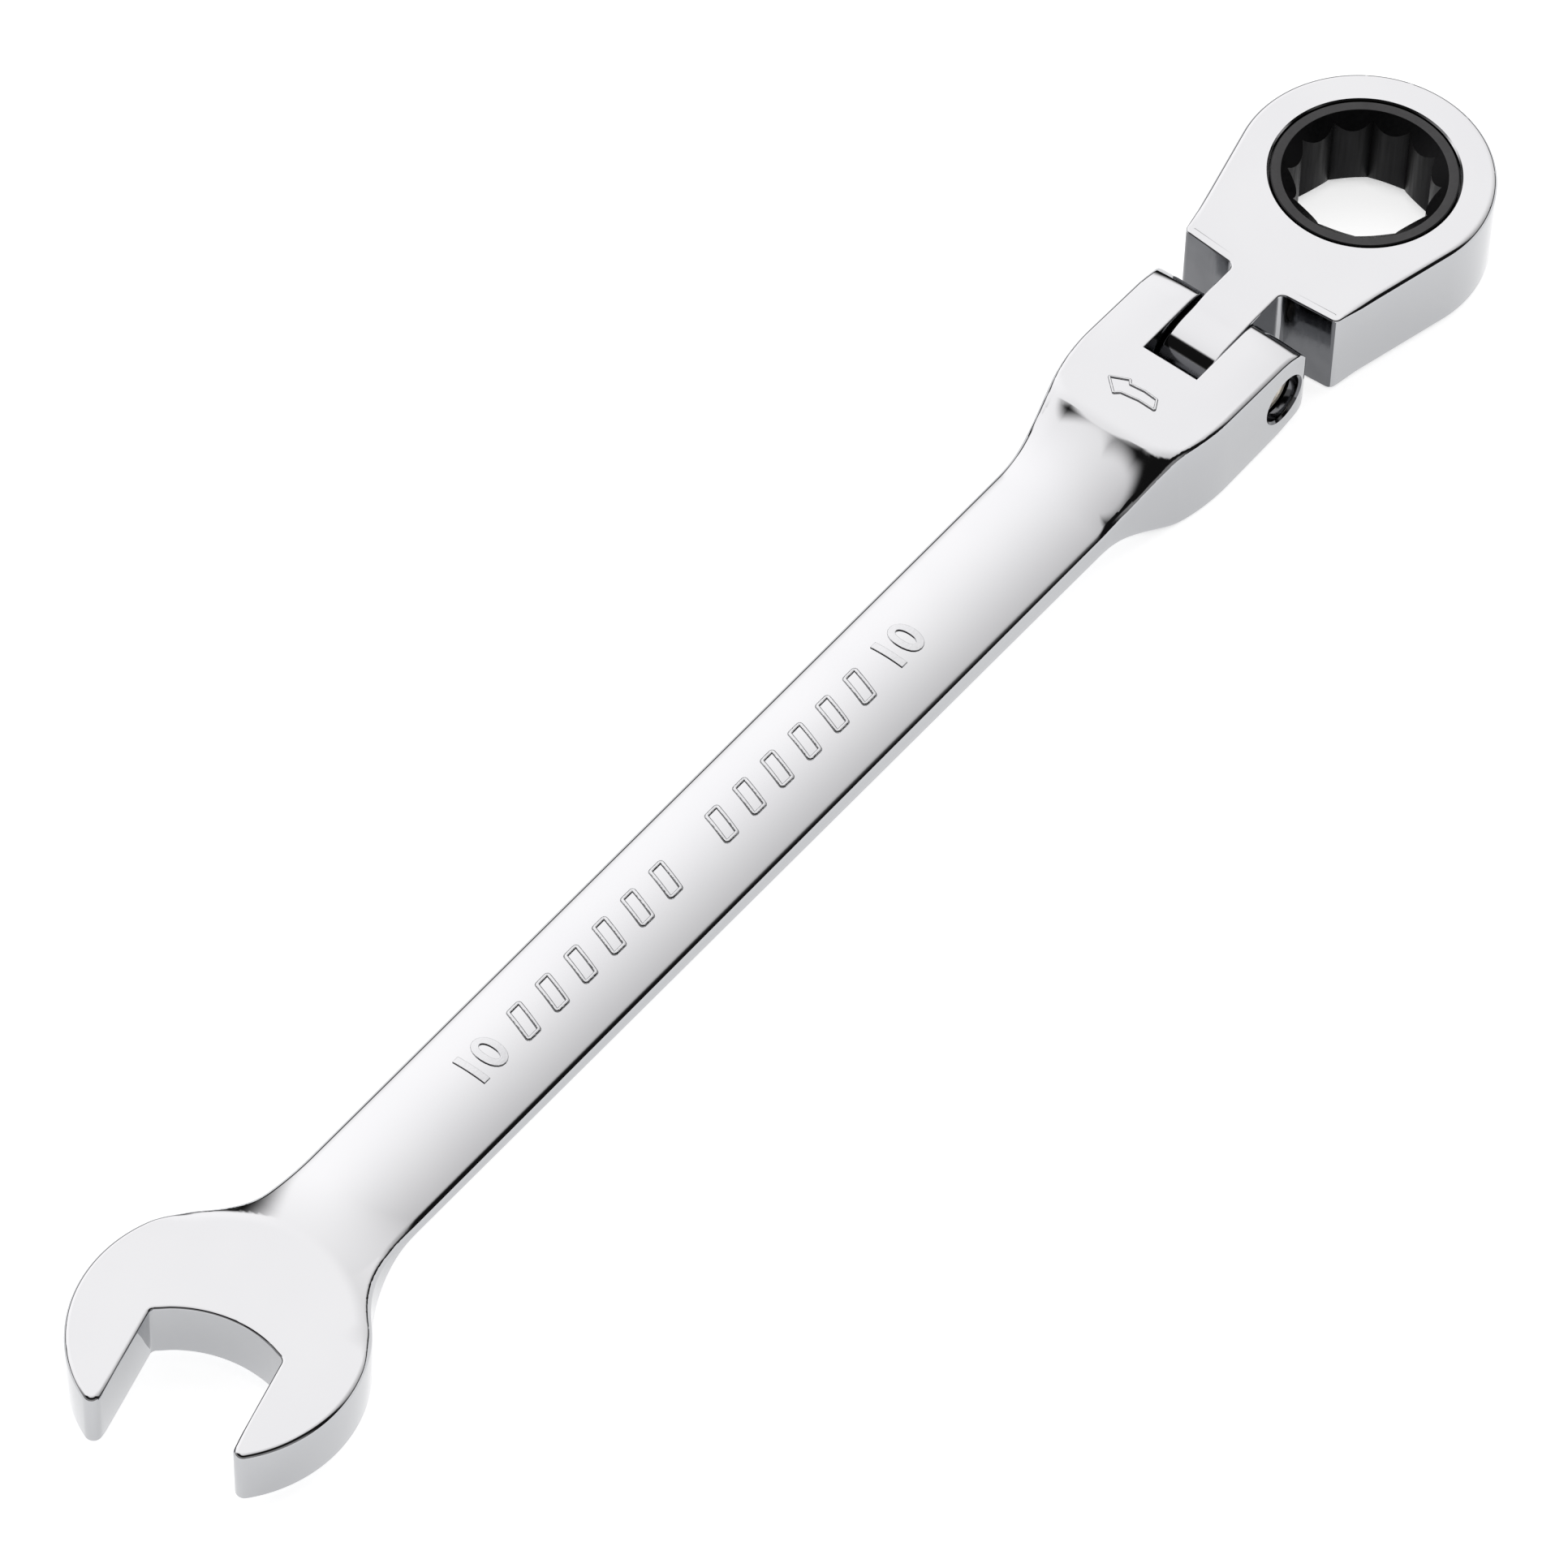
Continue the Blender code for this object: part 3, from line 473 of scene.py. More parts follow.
def prism(outline, low, high):
    bm = bmesh.new()
    face = bm.faces.new([bm.verts.new((x, y, low)) for x, y in outline])
    moved = bmesh.ops.extrude_face_region(bm, geom=[face])["geom"]
    raised = [item for item in moved if isinstance(item, bmesh.types.BMVert)]
    bmesh.ops.translate(bm, vec=(0, 0, high - low), verts=raised)
    return bm


def cut_across(bm, axis, stations):
    for station in stations:
        everything = bm.verts[:] + bm.edges[:] + bm.faces[:]
        point = [0.0, 0.0, 0.0]
        normal = [0.0, 0.0, 0.0]
        point[axis] = station
        normal[axis] = 1.0
        bmesh.ops.bisect_plane(bm, geom=everything, dist=1e-4, plane_co=point, plane_no=normal)


def forged_blank(outline, height_at, rim_at, stations_x=(), stations_y=()):
    """A slab with upright sides, whose faces follow height_at and whose rims follow rim_at."""
    bm = prism(outline, -1.0, 1.0)
    depth = bm.verts.layers.float.new("rim_depth")
    bmesh.ops.recalc_face_normals(bm, faces=bm.faces)
    flats = [face for face in bm.faces if abs(face.normal.z) > 0.9]
    before = 0.0
    for after in RING_DEPTHS:
        bmesh.ops.inset_region(bm, faces=flats, thickness=after - before, use_even_offset=True)
        before = after
        for face in flats:
            for vert in face.verts:
                vert[depth] = after
    cut_across(bm, 1, stations_y)
    cut_across(bm, 0, stations_x)
    for vert in bm.verts:
        x, y = vert.co.x, vert.co.y
        height = height_at(x, y) - rim_drop(vert[depth], rim_at(x, y))
        vert.co.z = math.copysign(height, vert.co.z)
    return bm


# %% Turn a bmesh into a piece
def piece_from(name, bm, materials, centre=(0.0, 0.0, 0.0)):
    """Moves a bmesh into place, still in millimetres, and wraps it in an object at the origin."""
    bmesh.ops.remove_doubles(bm, verts=bm.verts, dist=1e-5)
    bmesh.ops.recalc_face_normals(bm, faces=bm.faces)
    bmesh.ops.translate(bm, vec=centre, verts=bm.verts)
    mesh = bpy.data.meshes.new(name)
    bm.to_mesh(mesh)
    bm.free()
    for material in materials:
        mesh.materials.append(material)
    piece = bpy.data.objects.new(name, mesh)
    bpy.context.scene.collection.objects.link(piece)
    return piece


def carve(piece, *cutters, operation="DIFFERENCE"):
    """Cuts each cutter out of a piece, or joins it on, and keeps only the result."""
    for cutter in cutters:
        modifier = piece.modifiers.new(cutter.name, "BOOLEAN")
        modifier.operation = operation
        modifier.solver = "MANIFOLD"
        modifier.object = cutter
    bake_modifiers(piece)
    for cutter in cutters:
        bpy.data.objects.remove(cutter)


def bake_modifiers(piece):
    bpy.context.view_layer.update()
    graph = bpy.context.evaluated_depsgraph_get()
    baked = bpy.data.meshes.new_from_object(piece.evaluated_get(graph))
    piece.modifiers.clear()
    old, piece.data = piece.data, baked
    bpy.data.meshes.remove(old)
    baked.name = piece.name


def face_direction(x, y, height_at, step=0.004):
    """Which way the upper face looks at a place in plan."""
    slope_x = (height_at(x + step, y) - height_at(x - step, y)) / (2 * step)
    slope_y = (height_at(x, y + step) - height_at(x, y - step)) / (2 * step)
    return Vector((-slope_x, -slope_y, 1.0)).normalized()


def shade_by_height(piece, height_at, centre):
    """Where the mesh lies on the designed faces, the shading follows the formula exactly."""
    mesh = piece.data
    middle = Vector(centre)
    lies_on_face = []
    for vert in mesh.vertices:
        x, y, z = vert.co - middle
        lies_on_face.append(abs(abs(z) - height_at(x, y)) < 0.002)
    normals = []
    for face in mesh.polygons:
        inside = face.center - middle
        for index in face.vertices:
            direction = Vector((0.0, 0.0, 0.0))
            if lies_on_face[index] and abs(face.normal.z) > 0.2:
                corner = mesh.vertices[index].co - middle
                x, y, z = corner + (inside - corner).normalized() * 0.01
                candidate = face_direction(x, y, height_at)
                candidate.z = math.copysign(candidate.z, z)
                if candidate.dot(face.normal) > 0.9:
                    direction = candidate
            normals.append(direction)
    mesh.normals_split_custom_set(normals)


def settle(piece, sharp=35, height_at=None, centre=(0.0, 0.0, 0.0)):
    """Shades a finished piece, then scales it from millimetres to metres."""
    mesh = piece.data
    mesh.shade_smooth()
    mesh.set_sharp_from_angle(angle=math.radians(sharp))
    if height_at is None:
        modifier = piece.modifiers.new("weighted", "WEIGHTED_NORMAL")
        modifier.keep_sharp = True
        bake_modifiers(piece)
    else:
        shade_by_height(piece, height_at, centre)
    piece.data.transform(Matrix.Scale(MM, 4))
    print(piece.name, len(piece.data.polygons), "faces")


# %% Turned bodies and rods
def turned(profile, steps=96):
    """A body turned about Z from (radius, height) points: a loop, or a line that ends on the axis."""
    bm = bmesh.new()
    line = [bm.verts.new((radius, 0, height)) for radius, height in profile]
    edges = [bm.edges.new(pair) for pair in zip(line, line[1:])]
    if profile[0][0] > 0:
        edges.append(bm.edges.new((line[-1], line[0])))
    bmesh.ops.spin(
        bm,
        geom=line + edges,
        cent=(0, 0, 0),
        axis=(0, 0, 1),
        angle=2 * math.pi,
        steps=steps,
        use_merge=True,
        use_duplicate=False,
    )
    return bm


def rolled(bm, degrees, axis):
    """Turns a body about an axis through the origin."""
    turn = Matrix.Rotation(math.radians(degrees), 3, axis)
    bmesh.ops.rotate(bm, cent=(0, 0, 0), matrix=turn, verts=bm.verts)
    return bm


def laid_along_y(bm):
    return rolled(bm, -90, "X")


# %% [markdown]
# ## The handle's plan
#
# From above, the handle is a forked pad, a straight shank and a round open end whose jaw is turned
# 15 degrees, so that the wrench can be flipped over to reach a nut from the other side. Working in
# the jaw's own axes, along its opening and across it, keeps that tilt in one small function.


# %% The open end
def jaw_point(along, across):
    """From the jaw's own axes to the wrench's."""
    along_x, along_y = -math.cos(JAW_ANGLE), -math.sin(JAW_ANGLE)
    return (
        JAW_CENTRE[0] + along * along_x + across * along_y,
        JAW_CENTRE[1] + along * along_y - across * along_x,
    )


def throat_along(across):
    return THROAT_RADIUS - THROAT_DEPTH - math.sqrt(THROAT_RADIUS**2 - across**2)


def jaw(side):
    tip_across = JAW_HALF_GAP + JAW_TIP_RADIUS
    tip_along = math.sqrt((JAW_RADIUS - JAW_TIP_RADIUS) ** 2 - tip_across**2)
    start = math.atan2(tip_across, tip_along)
    line = arc((tip_along, tip_across), JAW_TIP_RADIUS, start, -math.pi / 2, 12)
    corner = (throat_along(JAW_HALF_GAP), JAW_HALF_GAP)
    into_throat = (throat_along(THROAT_REACH), THROAT_REACH)
    line += rounded_corner(line[-1], corner, into_throat, THROAT_CORNER_RADIUS)
    return [jaw_point(along, side * across) for along, across in line]


def neck(side, fillet):
    centre_y = side * (SHANK_HALF_WIDTH + fillet)
    rise = centre_y - JAW_CENTRE[1]
    run = math.sqrt((JAW_RADIUS + fillet) ** 2 - rise**2)
    start = -side * math.pi / 2
    turn = shortest_turn(start, math.atan2(-rise, -run))
    return arc((JAW_CENTRE[0] + run, centre_y), fillet, start, start + turn, 20)


def clockwise_round(start, end, steps=56):
    begin = math.atan2(start[1] - JAW_CENTRE[1], start[0] - JAW_CENTRE[0])
    finish = math.atan2(end[1] - JAW_CENTRE[1], end[0] - JAW_CENTRE[0])
    turn = -((begin - finish) % (2 * math.pi))
    return arc(JAW_CENTRE, JAW_RADIUS, begin, begin + turn, steps)[1:-1]


def jaw_outline(steps=24):
    right_neck = neck(-1, NECK_FILLET_RIGHT)
    left_neck = neck(1, NECK_FILLET_LEFT)[::-1]
    right_jaw = jaw(-1)
    left_jaw = jaw(1)[::-1]
    throat = []
    for i in range(steps + 1):
        across = THROAT_REACH * (2 * i / steps - 1)
        throat.append(jaw_point(throat_along(across), across))
    outline = right_neck + clockwise_round(right_neck[-1], right_jaw[0]) + right_jaw + throat
    return outline + left_jaw + clockwise_round(left_jaw[-1], left_neck[0]) + left_neck


# %% The fork and the whole outline
EAR_CORNER_RIGHT = 1.0  # round of the right ear's inner front corner, left by a grinder
EAR_CORNER_LEFT = 0.7
EAR_OUTER_RIGHT = 0.8  # round of the outer front corner, seen from above
EAR_OUTER_LEFT = 1.4


def smooth_step(value):
    value = min(1.0, max(0.0, value))
    return value * value * (3 - 2 * value)


def taper_edge(side, steps=28):
    points = []
    for i in range(steps + 1):
        share = i / steps
        x = FORK_TAPER_FRONT_X + (FORK_TAPER_BACK_X - FORK_TAPER_FRONT_X) * share
        extra = (FORK_HALF_WIDTH - SHANK_HALF_WIDTH) * smooth_step(1 - share)
        points.append((x, side * (SHANK_HALF_WIDTH + extra)))
    return points


def ear(side, inner_corner, outer_corner):
    """From the slot's floor round the ear's front to its side."""
    floor = (SLOT_FLOOR_X, side * SLOT_HALF_WIDTH)
    inner = (FORK_NOSE_X, side * SLOT_HALF_WIDTH)
    outer = (FORK_NOSE_X, side * FORK_HALF_WIDTH)
    back = (FORK_TAPER_FRONT_X, side * FORK_HALF_WIDTH)
    line = [floor] + rounded_corner(floor, inner, outer, inner_corner)
    return line + rounded_corner(inner, outer, back, outer_corner)


def handle_outline():
    right = ear(-1, EAR_CORNER_RIGHT, EAR_OUTER_RIGHT) + taper_edge(-1)
    left = taper_edge(1)[::-1] + ear(1, EAR_CORNER_LEFT, EAR_OUTER_LEFT)[::-1]
    return right + jaw_outline() + left


# %% [markdown]
# ## The handle's heights
#
# Seen from the side, the fork and the open end are flat plates, and between them the shank is thin
# at its edges and crowned along its middle. A concave sweep joins each flat to the crown. Writing
# the height as one formula of the place in plan keeps the sweeps smooth in every direction, which
# matters because chrome shows the least kink.


# %% Heights of the faces
def shank_height(x, y):
    """A crown that thins towards the shank's edges and towards the open end."""
    share = (x - FORK_TAPER_BACK_X) / (JAW_CENTRE[0] + JAW_RADIUS - FORK_TAPER_BACK_X)
    share = min(1.0, max(0.0, share))
    edge = SHANK_EDGE_HALF_FORK + (SHANK_EDGE_HALF_JAW - SHANK_EDGE_HALF_FORK) * share
    offset = min(1.0, abs(y) / SHANK_HALF_WIDTH)
    return edge + SHANK_CROWN * (1 - offset * offset)


CREASE_SOFTNESS = 0.45  # polishing rounds the edge between a flat and its sweep this far each way
JAW_FILLET_STRETCH = 2.6  # the sweep runs this much longer at the shank's edges
JAW_FLAT_SPARE = 1.6  # beyond the neck the flat runs out past the rim
JAW_FLAT_TURN_X = JAW_CENTRE[0] + 6.5  # where that starts, towards the jaw
JAW_FLAT_TURN_LENGTH = 4.0


def past_edge(distance):
    """The distance beyond an edge, eased through the edge itself."""
    if distance <= -CREASE_SOFTNESS:
        return 0.0
    if distance >= CREASE_SOFTNESS:
        return distance
    return (distance + CREASE_SOFTNESS) ** 2 / (4 * CREASE_SOFTNESS)


def fall(distance, length):
    """How much of a flat's height is left beyond its edge: a hollow sweep from 1 down to 0."""
    share = min(1.0, past_edge(distance) / length)
    return (1 - share) ** 2 * (1 + 0.4 * share)


NOSE_LEAST_HALF = 0.10
NOSE_SOFTNESS = 1.2  # how widely the round of a nose is eased into the flat above it
NOSE_FLAT_END_X = FORK_NOSE_X - FORK_NOSE_RADIUS + math.sqrt(FORK_NOSE_RADIUS**2 - FORK_HALF_THICKNESS**2)
EAR_CUT_REACH = 0.9  # the ears' outer front corners are ground away this far in
EAR_CUT_SLOPE = 0.45


def eased_least(first, second, width):
    """The lesser of two heights, with the corner between them eased."""
    closeness = max(width - abs(first - second), 0.0) / width
    return min(first, second) - closeness * closeness * width / 4


def handle_height(x, y):
    """Half the handle's thickness at a place in plan."""
    beyond_x = max(PAD_END_X + PAD_CORNER_RADIUS - x, 0.0)
    beyond_y = max(abs(y) - FORK_HALF_WIDTH + PAD_CORNER_RADIUS, 0.0)
    from_pad = math.hypot(beyond_x, beyond_y) - PAD_CORNER_RADIUS
    away_from_neck = smooth_step((JAW_FLAT_TURN_X - x) / JAW_FLAT_TURN_LENGTH)
    flat_radius = JAW_FLAT_RADIUS + JAW_FLAT_SPARE * away_from_neck
    from_jaw = math.hypot(x - JAW_CENTRE[0], y - JAW_CENTRE[1]) - flat_radius
    flank = min(1.0, abs(y) / SHANK_HALF_WIDTH)
    jaw_fillet = JAW_FILLET_LENGTH + JAW_FILLET_STRETCH * flank * flank
    height = shank_height(x, y)
    height += (FORK_HALF_THICKNESS - height) * fall(from_pad, PAD_FILLET_LENGTH)
    height += (JAW_HALF_THICKNESS - height) * fall(from_jaw, jaw_fillet)
    nose_centre = FORK_NOSE_X - FORK_NOSE_RADIUS
    if x > nose_centre:
        reach = max(FORK_NOSE_RADIUS**2 - (x - nose_centre) ** 2, 0.0)
        height = eased_least(height, max(math.sqrt(reach), NOSE_LEAST_HALF), NOSE_SOFTNESS)
        past_corner = (x - NOSE_FLAT_END_X + abs(y) - FORK_HALF_WIDTH) / math.sqrt(2) + EAR_CUT_REACH
        height = eased_least(height, FORK_HALF_THICKNESS - EAR_CUT_SLOPE * past_corner, NOSE_SOFTNESS)
        height = max(height, NOSE_LEAST_HALF)
    return height


RIM_ON_FORK = 0.46
RIM_ON_SHANK = 0.50
RIM_ROUND_JAW = 0.42
RIM_IN_JAW = 0.24
RIM_IN_SLOT = 0.15
SLOT_RIM_REACH = 0.8
RIM_AT_NOSE = 0.02
RIM_FADE_AT_NOSE = 2.4
JAW_RIM_END_X = JAW_CENTRE[0] + JAW_RADIUS + 3.0
JAW_RIM_BAND = 1.6  # how far in from the round outside the soft rim may reach


def handle_rim(x, y):
    """Rims are soft on the shank, the fork and round the jaw, and crisp in its opening and slot."""
    from_jaw_centre = math.hypot(x - JAW_CENTRE[0], y - JAW_CENTRE[1])
    if x < JAW_RIM_END_X:
        outside = smooth_step((from_jaw_centre - JAW_RADIUS + JAW_RIM_BAND) / 0.5)
        into_neck = smooth_step((x - JAW_CENTRE[0] - 4.5) / 6.0)
        round_rim = RIM_ROUND_JAW + (RIM_ON_SHANK - RIM_ROUND_JAW) * into_neck
        return RIM_IN_JAW + (round_rim - RIM_IN_JAW) * outside
    from_fork = smooth_step((PAD_END_X - 2.0 - x) / 18.0)
    radius = RIM_ON_FORK + (RIM_ON_SHANK - RIM_ON_FORK) * from_fork
    if x > SLOT_FLOOR_X - SLOT_RIM_REACH and abs(y) < SLOT_HALF_WIDTH + SLOT_RIM_REACH:
        radius = RIM_IN_SLOT
    return max(radius * smooth_step((FORK_NOSE_X - x) / RIM_FADE_AT_NOSE), RIM_AT_NOSE)


# %% Where the cuts run
def spread(start, end, step):
    count = max(1, round(abs(end - start) / step))
    return [start + (end - start) * i / count for i in range(count + 1)]


SWEEP_STEP = 0.3  # spacing of the cuts where a face sweeps
SHANK_STEP = 2.0
NOSE_STEPS = 14
nose_centre = FORK_NOSE_X - FORK_NOSE_RADIUS
nose_turn = math.asin(FORK_HALF_THICKNESS / FORK_NOSE_RADIUS) / NOSE_STEPS
nose_stations = [nose_centre + FORK_NOSE_RADIUS * math.cos(nose_turn * i) for i in range(1, NOSE_STEPS + 1)]
nose_stations += spread(nose_stations[-1] - 2.0, nose_stations[-1] - 0.1, 0.13)
pad_end = PAD_END_X - PAD_FILLET_LENGTH
fork_stations = spread(PAD_END_X + 4.2, pad_end - 1.0, SWEEP_STEP)
shank_stations = spread(pad_end - 3.0, JAW_CENTRE[0] + 19.0, SHANK_STEP)
jaw_stations = spread(JAW_CENTRE[0] + 17.6, JAW_CENTRE[0] + 1.5, SWEEP_STEP)
rows = spread(-7.5, 7.5, SWEEP_STEP)
blank = forged_blank(
    handle_outline(),
    handle_height,
    handle_rim,
    nose_stations + fork_stations + shank_stations + jaw_stations,
    rows,
)
handle = piece_from("handle_forging", blank, [bright_chrome, milled_chrome_with_painted_shade], HANDLE_PLACE)
print("blank faces:", len(handle.data.polygons))

# %% [markdown]
# ## Drilling, tapping and milling the fork
#
# The pivot screw passes through both ears: its head sits in a counterbore on the left, and its
# thread grips the right ear. A real tap cuts one long helix. Rings of the same pitch and depth look
# the same in a hole this small and make a cleaner cutter. The slot's floor and walls were milled,
# so they take the streaky finish.

# %% Cut the hinge bores
EAR_HOLE_RADIUS = 1.95
THREAD_ROOT_RADIUS = 1.98
THREAD_CREST_RADIUS = 1.80
THREAD_PITCH = 0.7
COUNTERBORE_RADIUS = 2.6
COUNTERBORE_FLOOR_Y = 4.9
HOLE_CHAMFER = 0.18


def tapped_cutter():
    """A ribbed rod from the slot out through the right ear, with a chamfer at the mouth."""
    profile = [(0.0, 1.0)]
    height = 1.0
    while height < FORK_HALF_WIDTH - THREAD_PITCH / 2:
        profile.append((THREAD_CREST_RADIUS, height))
        profile.append((THREAD_ROOT_RADIUS, height + THREAD_PITCH / 2))
        height += THREAD_PITCH
    mouth = THREAD_ROOT_RADIUS + HOLE_CHAMFER
    profile.append((THREAD_ROOT_RADIUS, FORK_HALF_WIDTH - HOLE_CHAMFER))
    profile.append((mouth, FORK_HALF_WIDTH))
    profile.append((mouth, FORK_HALF_WIDTH + 1.0))
    profile.append((0.0, FORK_HALF_WIDTH + 1.0))
    return rolled(laid_along_y(turned(profile, 64)), 180, "X")


def counterbore_cutter():
    beyond = FORK_HALF_WIDTH + 1.0
    mouth = COUNTERBORE_RADIUS + HOLE_CHAMFER
    profile = [
        (0.0, 1.0),
        (EAR_HOLE_RADIUS, 1.0),
        (EAR_HOLE_RADIUS, COUNTERBORE_FLOOR_Y),
        (COUNTERBORE_RADIUS, COUNTERBORE_FLOOR_Y),
        (COUNTERBORE_RADIUS, FORK_HALF_WIDTH - HOLE_CHAMFER),
        (mouth, FORK_HALF_WIDTH),
        (mouth, beyond),
        (0.0, beyond),
    ]
    return laid_along_y(turned(profile, 64))


carve(
    handle,
    piece_from("tap", tapped_cutter(), [milled_chrome_with_painted_shade], PIN_PLACE),
    piece_from("counterbore", counterbore_cutter(), [bright_chrome], PIN_PLACE),
)


# %% Give the milled faces their streaks and their painted shade
def second_finish_where(piece, takes_second_finish):
    """Puts every face that passes the test on the piece's second finish, a darker copy of its metal that
    carries painted shade.
    """
    count = 0
    for face in piece.data.polygons:
        if takes_second_finish(face.center, face.normal):
            face.material_index = 1
            count += 1
    print(piece.name, "faces with the second finish:", count)


def in_slot(centre, normal):
    inside = centre.x > SLOT_FLOOR_X - 0.05 and abs(centre.y) < SLOT_HALF_WIDTH + 0.05
    return inside and abs(normal.z) < 0.3


# The slot's faces take the milled chrome: its cutter streaks are real, and its darker colour is painted
# shade.
second_finish_where(handle, in_slot)
settle(handle, 35, handle_height, HANDLE_PLACE)
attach(handle, "handle")
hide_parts("handle")

# %% [markdown]
# ## The ratchet head
#
# The head is a second forging: a round housing that narrows along two tangents to square shoulders,
# with a tongue that fits between the fork's ears. The tongue's end is rounded about the pin, so it
# clears the slot's floor at every angle. The same blank builder makes it, with its own outline.

# %% The head's outline
HEAD_RIM = 0.48
TONGUE_RIM = 0.17
HEAD_RIM_GROWTH = 1.8  # the length over which a rim grows from nothing to its full round
TONGUE_RIM_GROWTH = 1.2
TONGUE_SOFTNESS = 1.5


def head_outline():
    centre = RING_X - PIN_X
    corner_x = centre - SHOULDER_X
    distance = math.hypot(SHOULDER_X, SHOULDER_HALF_WIDTH)
    corner_angle = math.atan2(SHOULDER_HALF_WIDTH, -SHOULDER_X)
    tangent_angle = corner_angle - math.acos(HEAD_RADIUS / distance)
    ring = arc((centre, 0), HEAD_RADIUS, -tangent_angle, tangent_angle, 120)
    shoulder = (corner_x, SHOULDER_HALF_WIDTH)
    root = (centre - SHOULDER_ROOT_X, TONGUE_HALF_WIDTH)
    tongue_end = (-TONGUE_END_RADIUS, TONGUE_HALF_WIDTH)
    half = rounded_corner(ring[-1], shoulder, root, SHOULDER_CORNER_RADIUS)
    half += rounded_corner(shoulder, root, tongue_end, TONGUE_ROOT_RADIUS)
    half.append(tongue_end)
    return ring + half + [(x, -y) for x, y in half[::-1]]


def head_height(x, _):
    """Flat everywhere but on the tongue's end, which is rounded about the pin."""
    if x > TONGUE_HALF_WIDTH:
        return HEAD_HALF_THICKNESS
    if x < 0:
        bound = math.sqrt(max(TONGUE_END_RADIUS**2 - x * x, NOSE_LEAST_HALF**2))
    else:
        bound = TONGUE_END_RADIUS + x * x / 2
    return eased_least(HEAD_HALF_THICKNESS, bound, TONGUE_SOFTNESS)


def head_rim(x, _):
    """Crisp on the tongue and the shoulders, soft round the ring."""
    past_shoulder = x - (RING_X - PIN_X - SHOULDER_X) - 0.1
    soft = HEAD_RIM * smooth_step(past_shoulder / HEAD_RIM_GROWTH)
    crisp = TONGUE_RIM * smooth_step((x + TONGUE_END_RADIUS) / TONGUE_RIM_GROWTH)
    return max(soft, crisp, RIM_AT_NOSE)


TONGUE_STEPS = 20
tongue_turn = math.asin(HEAD_HALF_THICKNESS / TONGUE_END_RADIUS) / TONGUE_STEPS
tongue_stations = [-TONGUE_END_RADIUS * math.cos(tongue_turn * i) for i in range(1, TONGUE_STEPS + 1)]
tongue_stations += spread(tongue_stations[-1] + 0.12, -0.2, 0.15)
head_rows = [-1.2, 0.0, 1.2]
head_stations = tongue_stations + spread(-1.0, 28.0, 1.5)
blank = forged_blank(head_outline(), head_height, head_rim, head_stations, head_rows)
head = piece_from("head_forging", blank, [bright_chrome, milled_chrome_with_painted_shade], PIN_PLACE)

# %% [markdown]
# ## Boring the head
#
# The housing is bored from below: the gear goes in, a retaining ring snaps into its groove, and a
# thin lip above keeps everything down. The bore breaks into a pocket for the pawl and a blind hole
# for its spring. The lip gets a small chamfer, which shows as a fine bright line round the gear.

# %% Bore, pocket and pin hole
BORE_RADIUS = 8.1
BORE_TOP_Z = 2.95
LIP_RADIUS = 7.25
LIP_CHAMFER = 0.12
GROOVE_RADIUS = 8.55
GROOVE_TOP_Z = -1.80
GROOVE_BOTTOM_Z = -2.70
POCKET_BACK_X = -11.25
POCKET_HALF_WIDTH = 2.9
POCKET_Z = (-1.4, 2.4)
SPRING_HOLE_RADIUS = 0.85
SPRING_HOLE_END_X = -14.4
POCKET_FRONT_X = -6.0
TONGUE_HOLE_RADIUS = 2.0
WASHER_RECESS_RADIUS = 3.2
WASHER_RECESS_DEPTH = 0.45


def bore_cutter():
    top = HEAD_HALF_THICKNESS
    profile = [
        (0.0, -top - 1.0),
        (BORE_RADIUS + LIP_CHAMFER, -top - 1.0),
        (BORE_RADIUS + LIP_CHAMFER, -top),
        (BORE_RADIUS, -top + LIP_CHAMFER),
        (BORE_RADIUS, GROOVE_BOTTOM_Z),
        (GROOVE_RADIUS, GROOVE_BOTTOM_Z),
        (GROOVE_RADIUS, GROOVE_TOP_Z),
        (BORE_RADIUS, GROOVE_TOP_Z),
        (BORE_RADIUS, BORE_TOP_Z),
        (LIP_RADIUS, BORE_TOP_Z),
        (LIP_RADIUS, top - LIP_CHAMFER),
        (LIP_RADIUS + LIP_CHAMFER, top),
        (LIP_RADIUS + LIP_CHAMFER, top + 1.0),
        (0.0, top + 1.0),
    ]
    return turned(profile, 144)


def pocket_cutter():
    corners = [
        (POCKET_BACK_X, -POCKET_HALF_WIDTH),
        (POCKET_FRONT_X, -POCKET_HALF_WIDTH),
        (POCKET_FRONT_X, POCKET_HALF_WIDTH),
        (POCKET_BACK_X, POCKET_HALF_WIDTH),
    ]
    return prism(corners, *POCKET_Z)


def spring_hole_cutter():
    length = POCKET_FRONT_X - SPRING_HOLE_END_X
    profile = [(0.0, 0.0), (SPRING_HOLE_RADIUS, 0.0), (SPRING_HOLE_RADIUS, length), (0.0, length)]
    bm = rolled(turned(profile, 32), 90, "Y")
    bmesh.ops.translate(bm, vec=(SPRING_HOLE_END_X, 0, sum(POCKET_Z) / 2), verts=bm.verts)
    return bm


def pin_cutter():
    """A straight hole with a shallow recess for a washer at each side of the tongue."""
    recess = TONGUE_HALF_WIDTH - WASHER_RECESS_DEPTH
    beyond = TONGUE_HALF_WIDTH + 0.3
    profile = [
        (0.0, -beyond),
        (WASHER_RECESS_RADIUS, -beyond),
        (WASHER_RECESS_RADIUS, -recess),
        (TONGUE_HOLE_RADIUS, -recess),
        (TONGUE_HOLE_RADIUS, recess),
        (WASHER_RECESS_RADIUS, recess),
        (WASHER_RECESS_RADIUS, beyond),
        (0.0, beyond),
    ]
    return laid_along_y(turned(profile, 64))


carve(
    head,
    piece_from("bore", bore_cutter(), [bright_chrome], RING_PLACE),
    piece_from("pawl_pocket", pocket_cutter(), [bright_chrome], RING_PLACE),
    piece_from("spring_hole", spring_hole_cutter(), [bright_chrome], RING_PLACE),
    piece_from("pin_bore", pin_cutter(), [bright_chrome], PIN_PLACE),
)


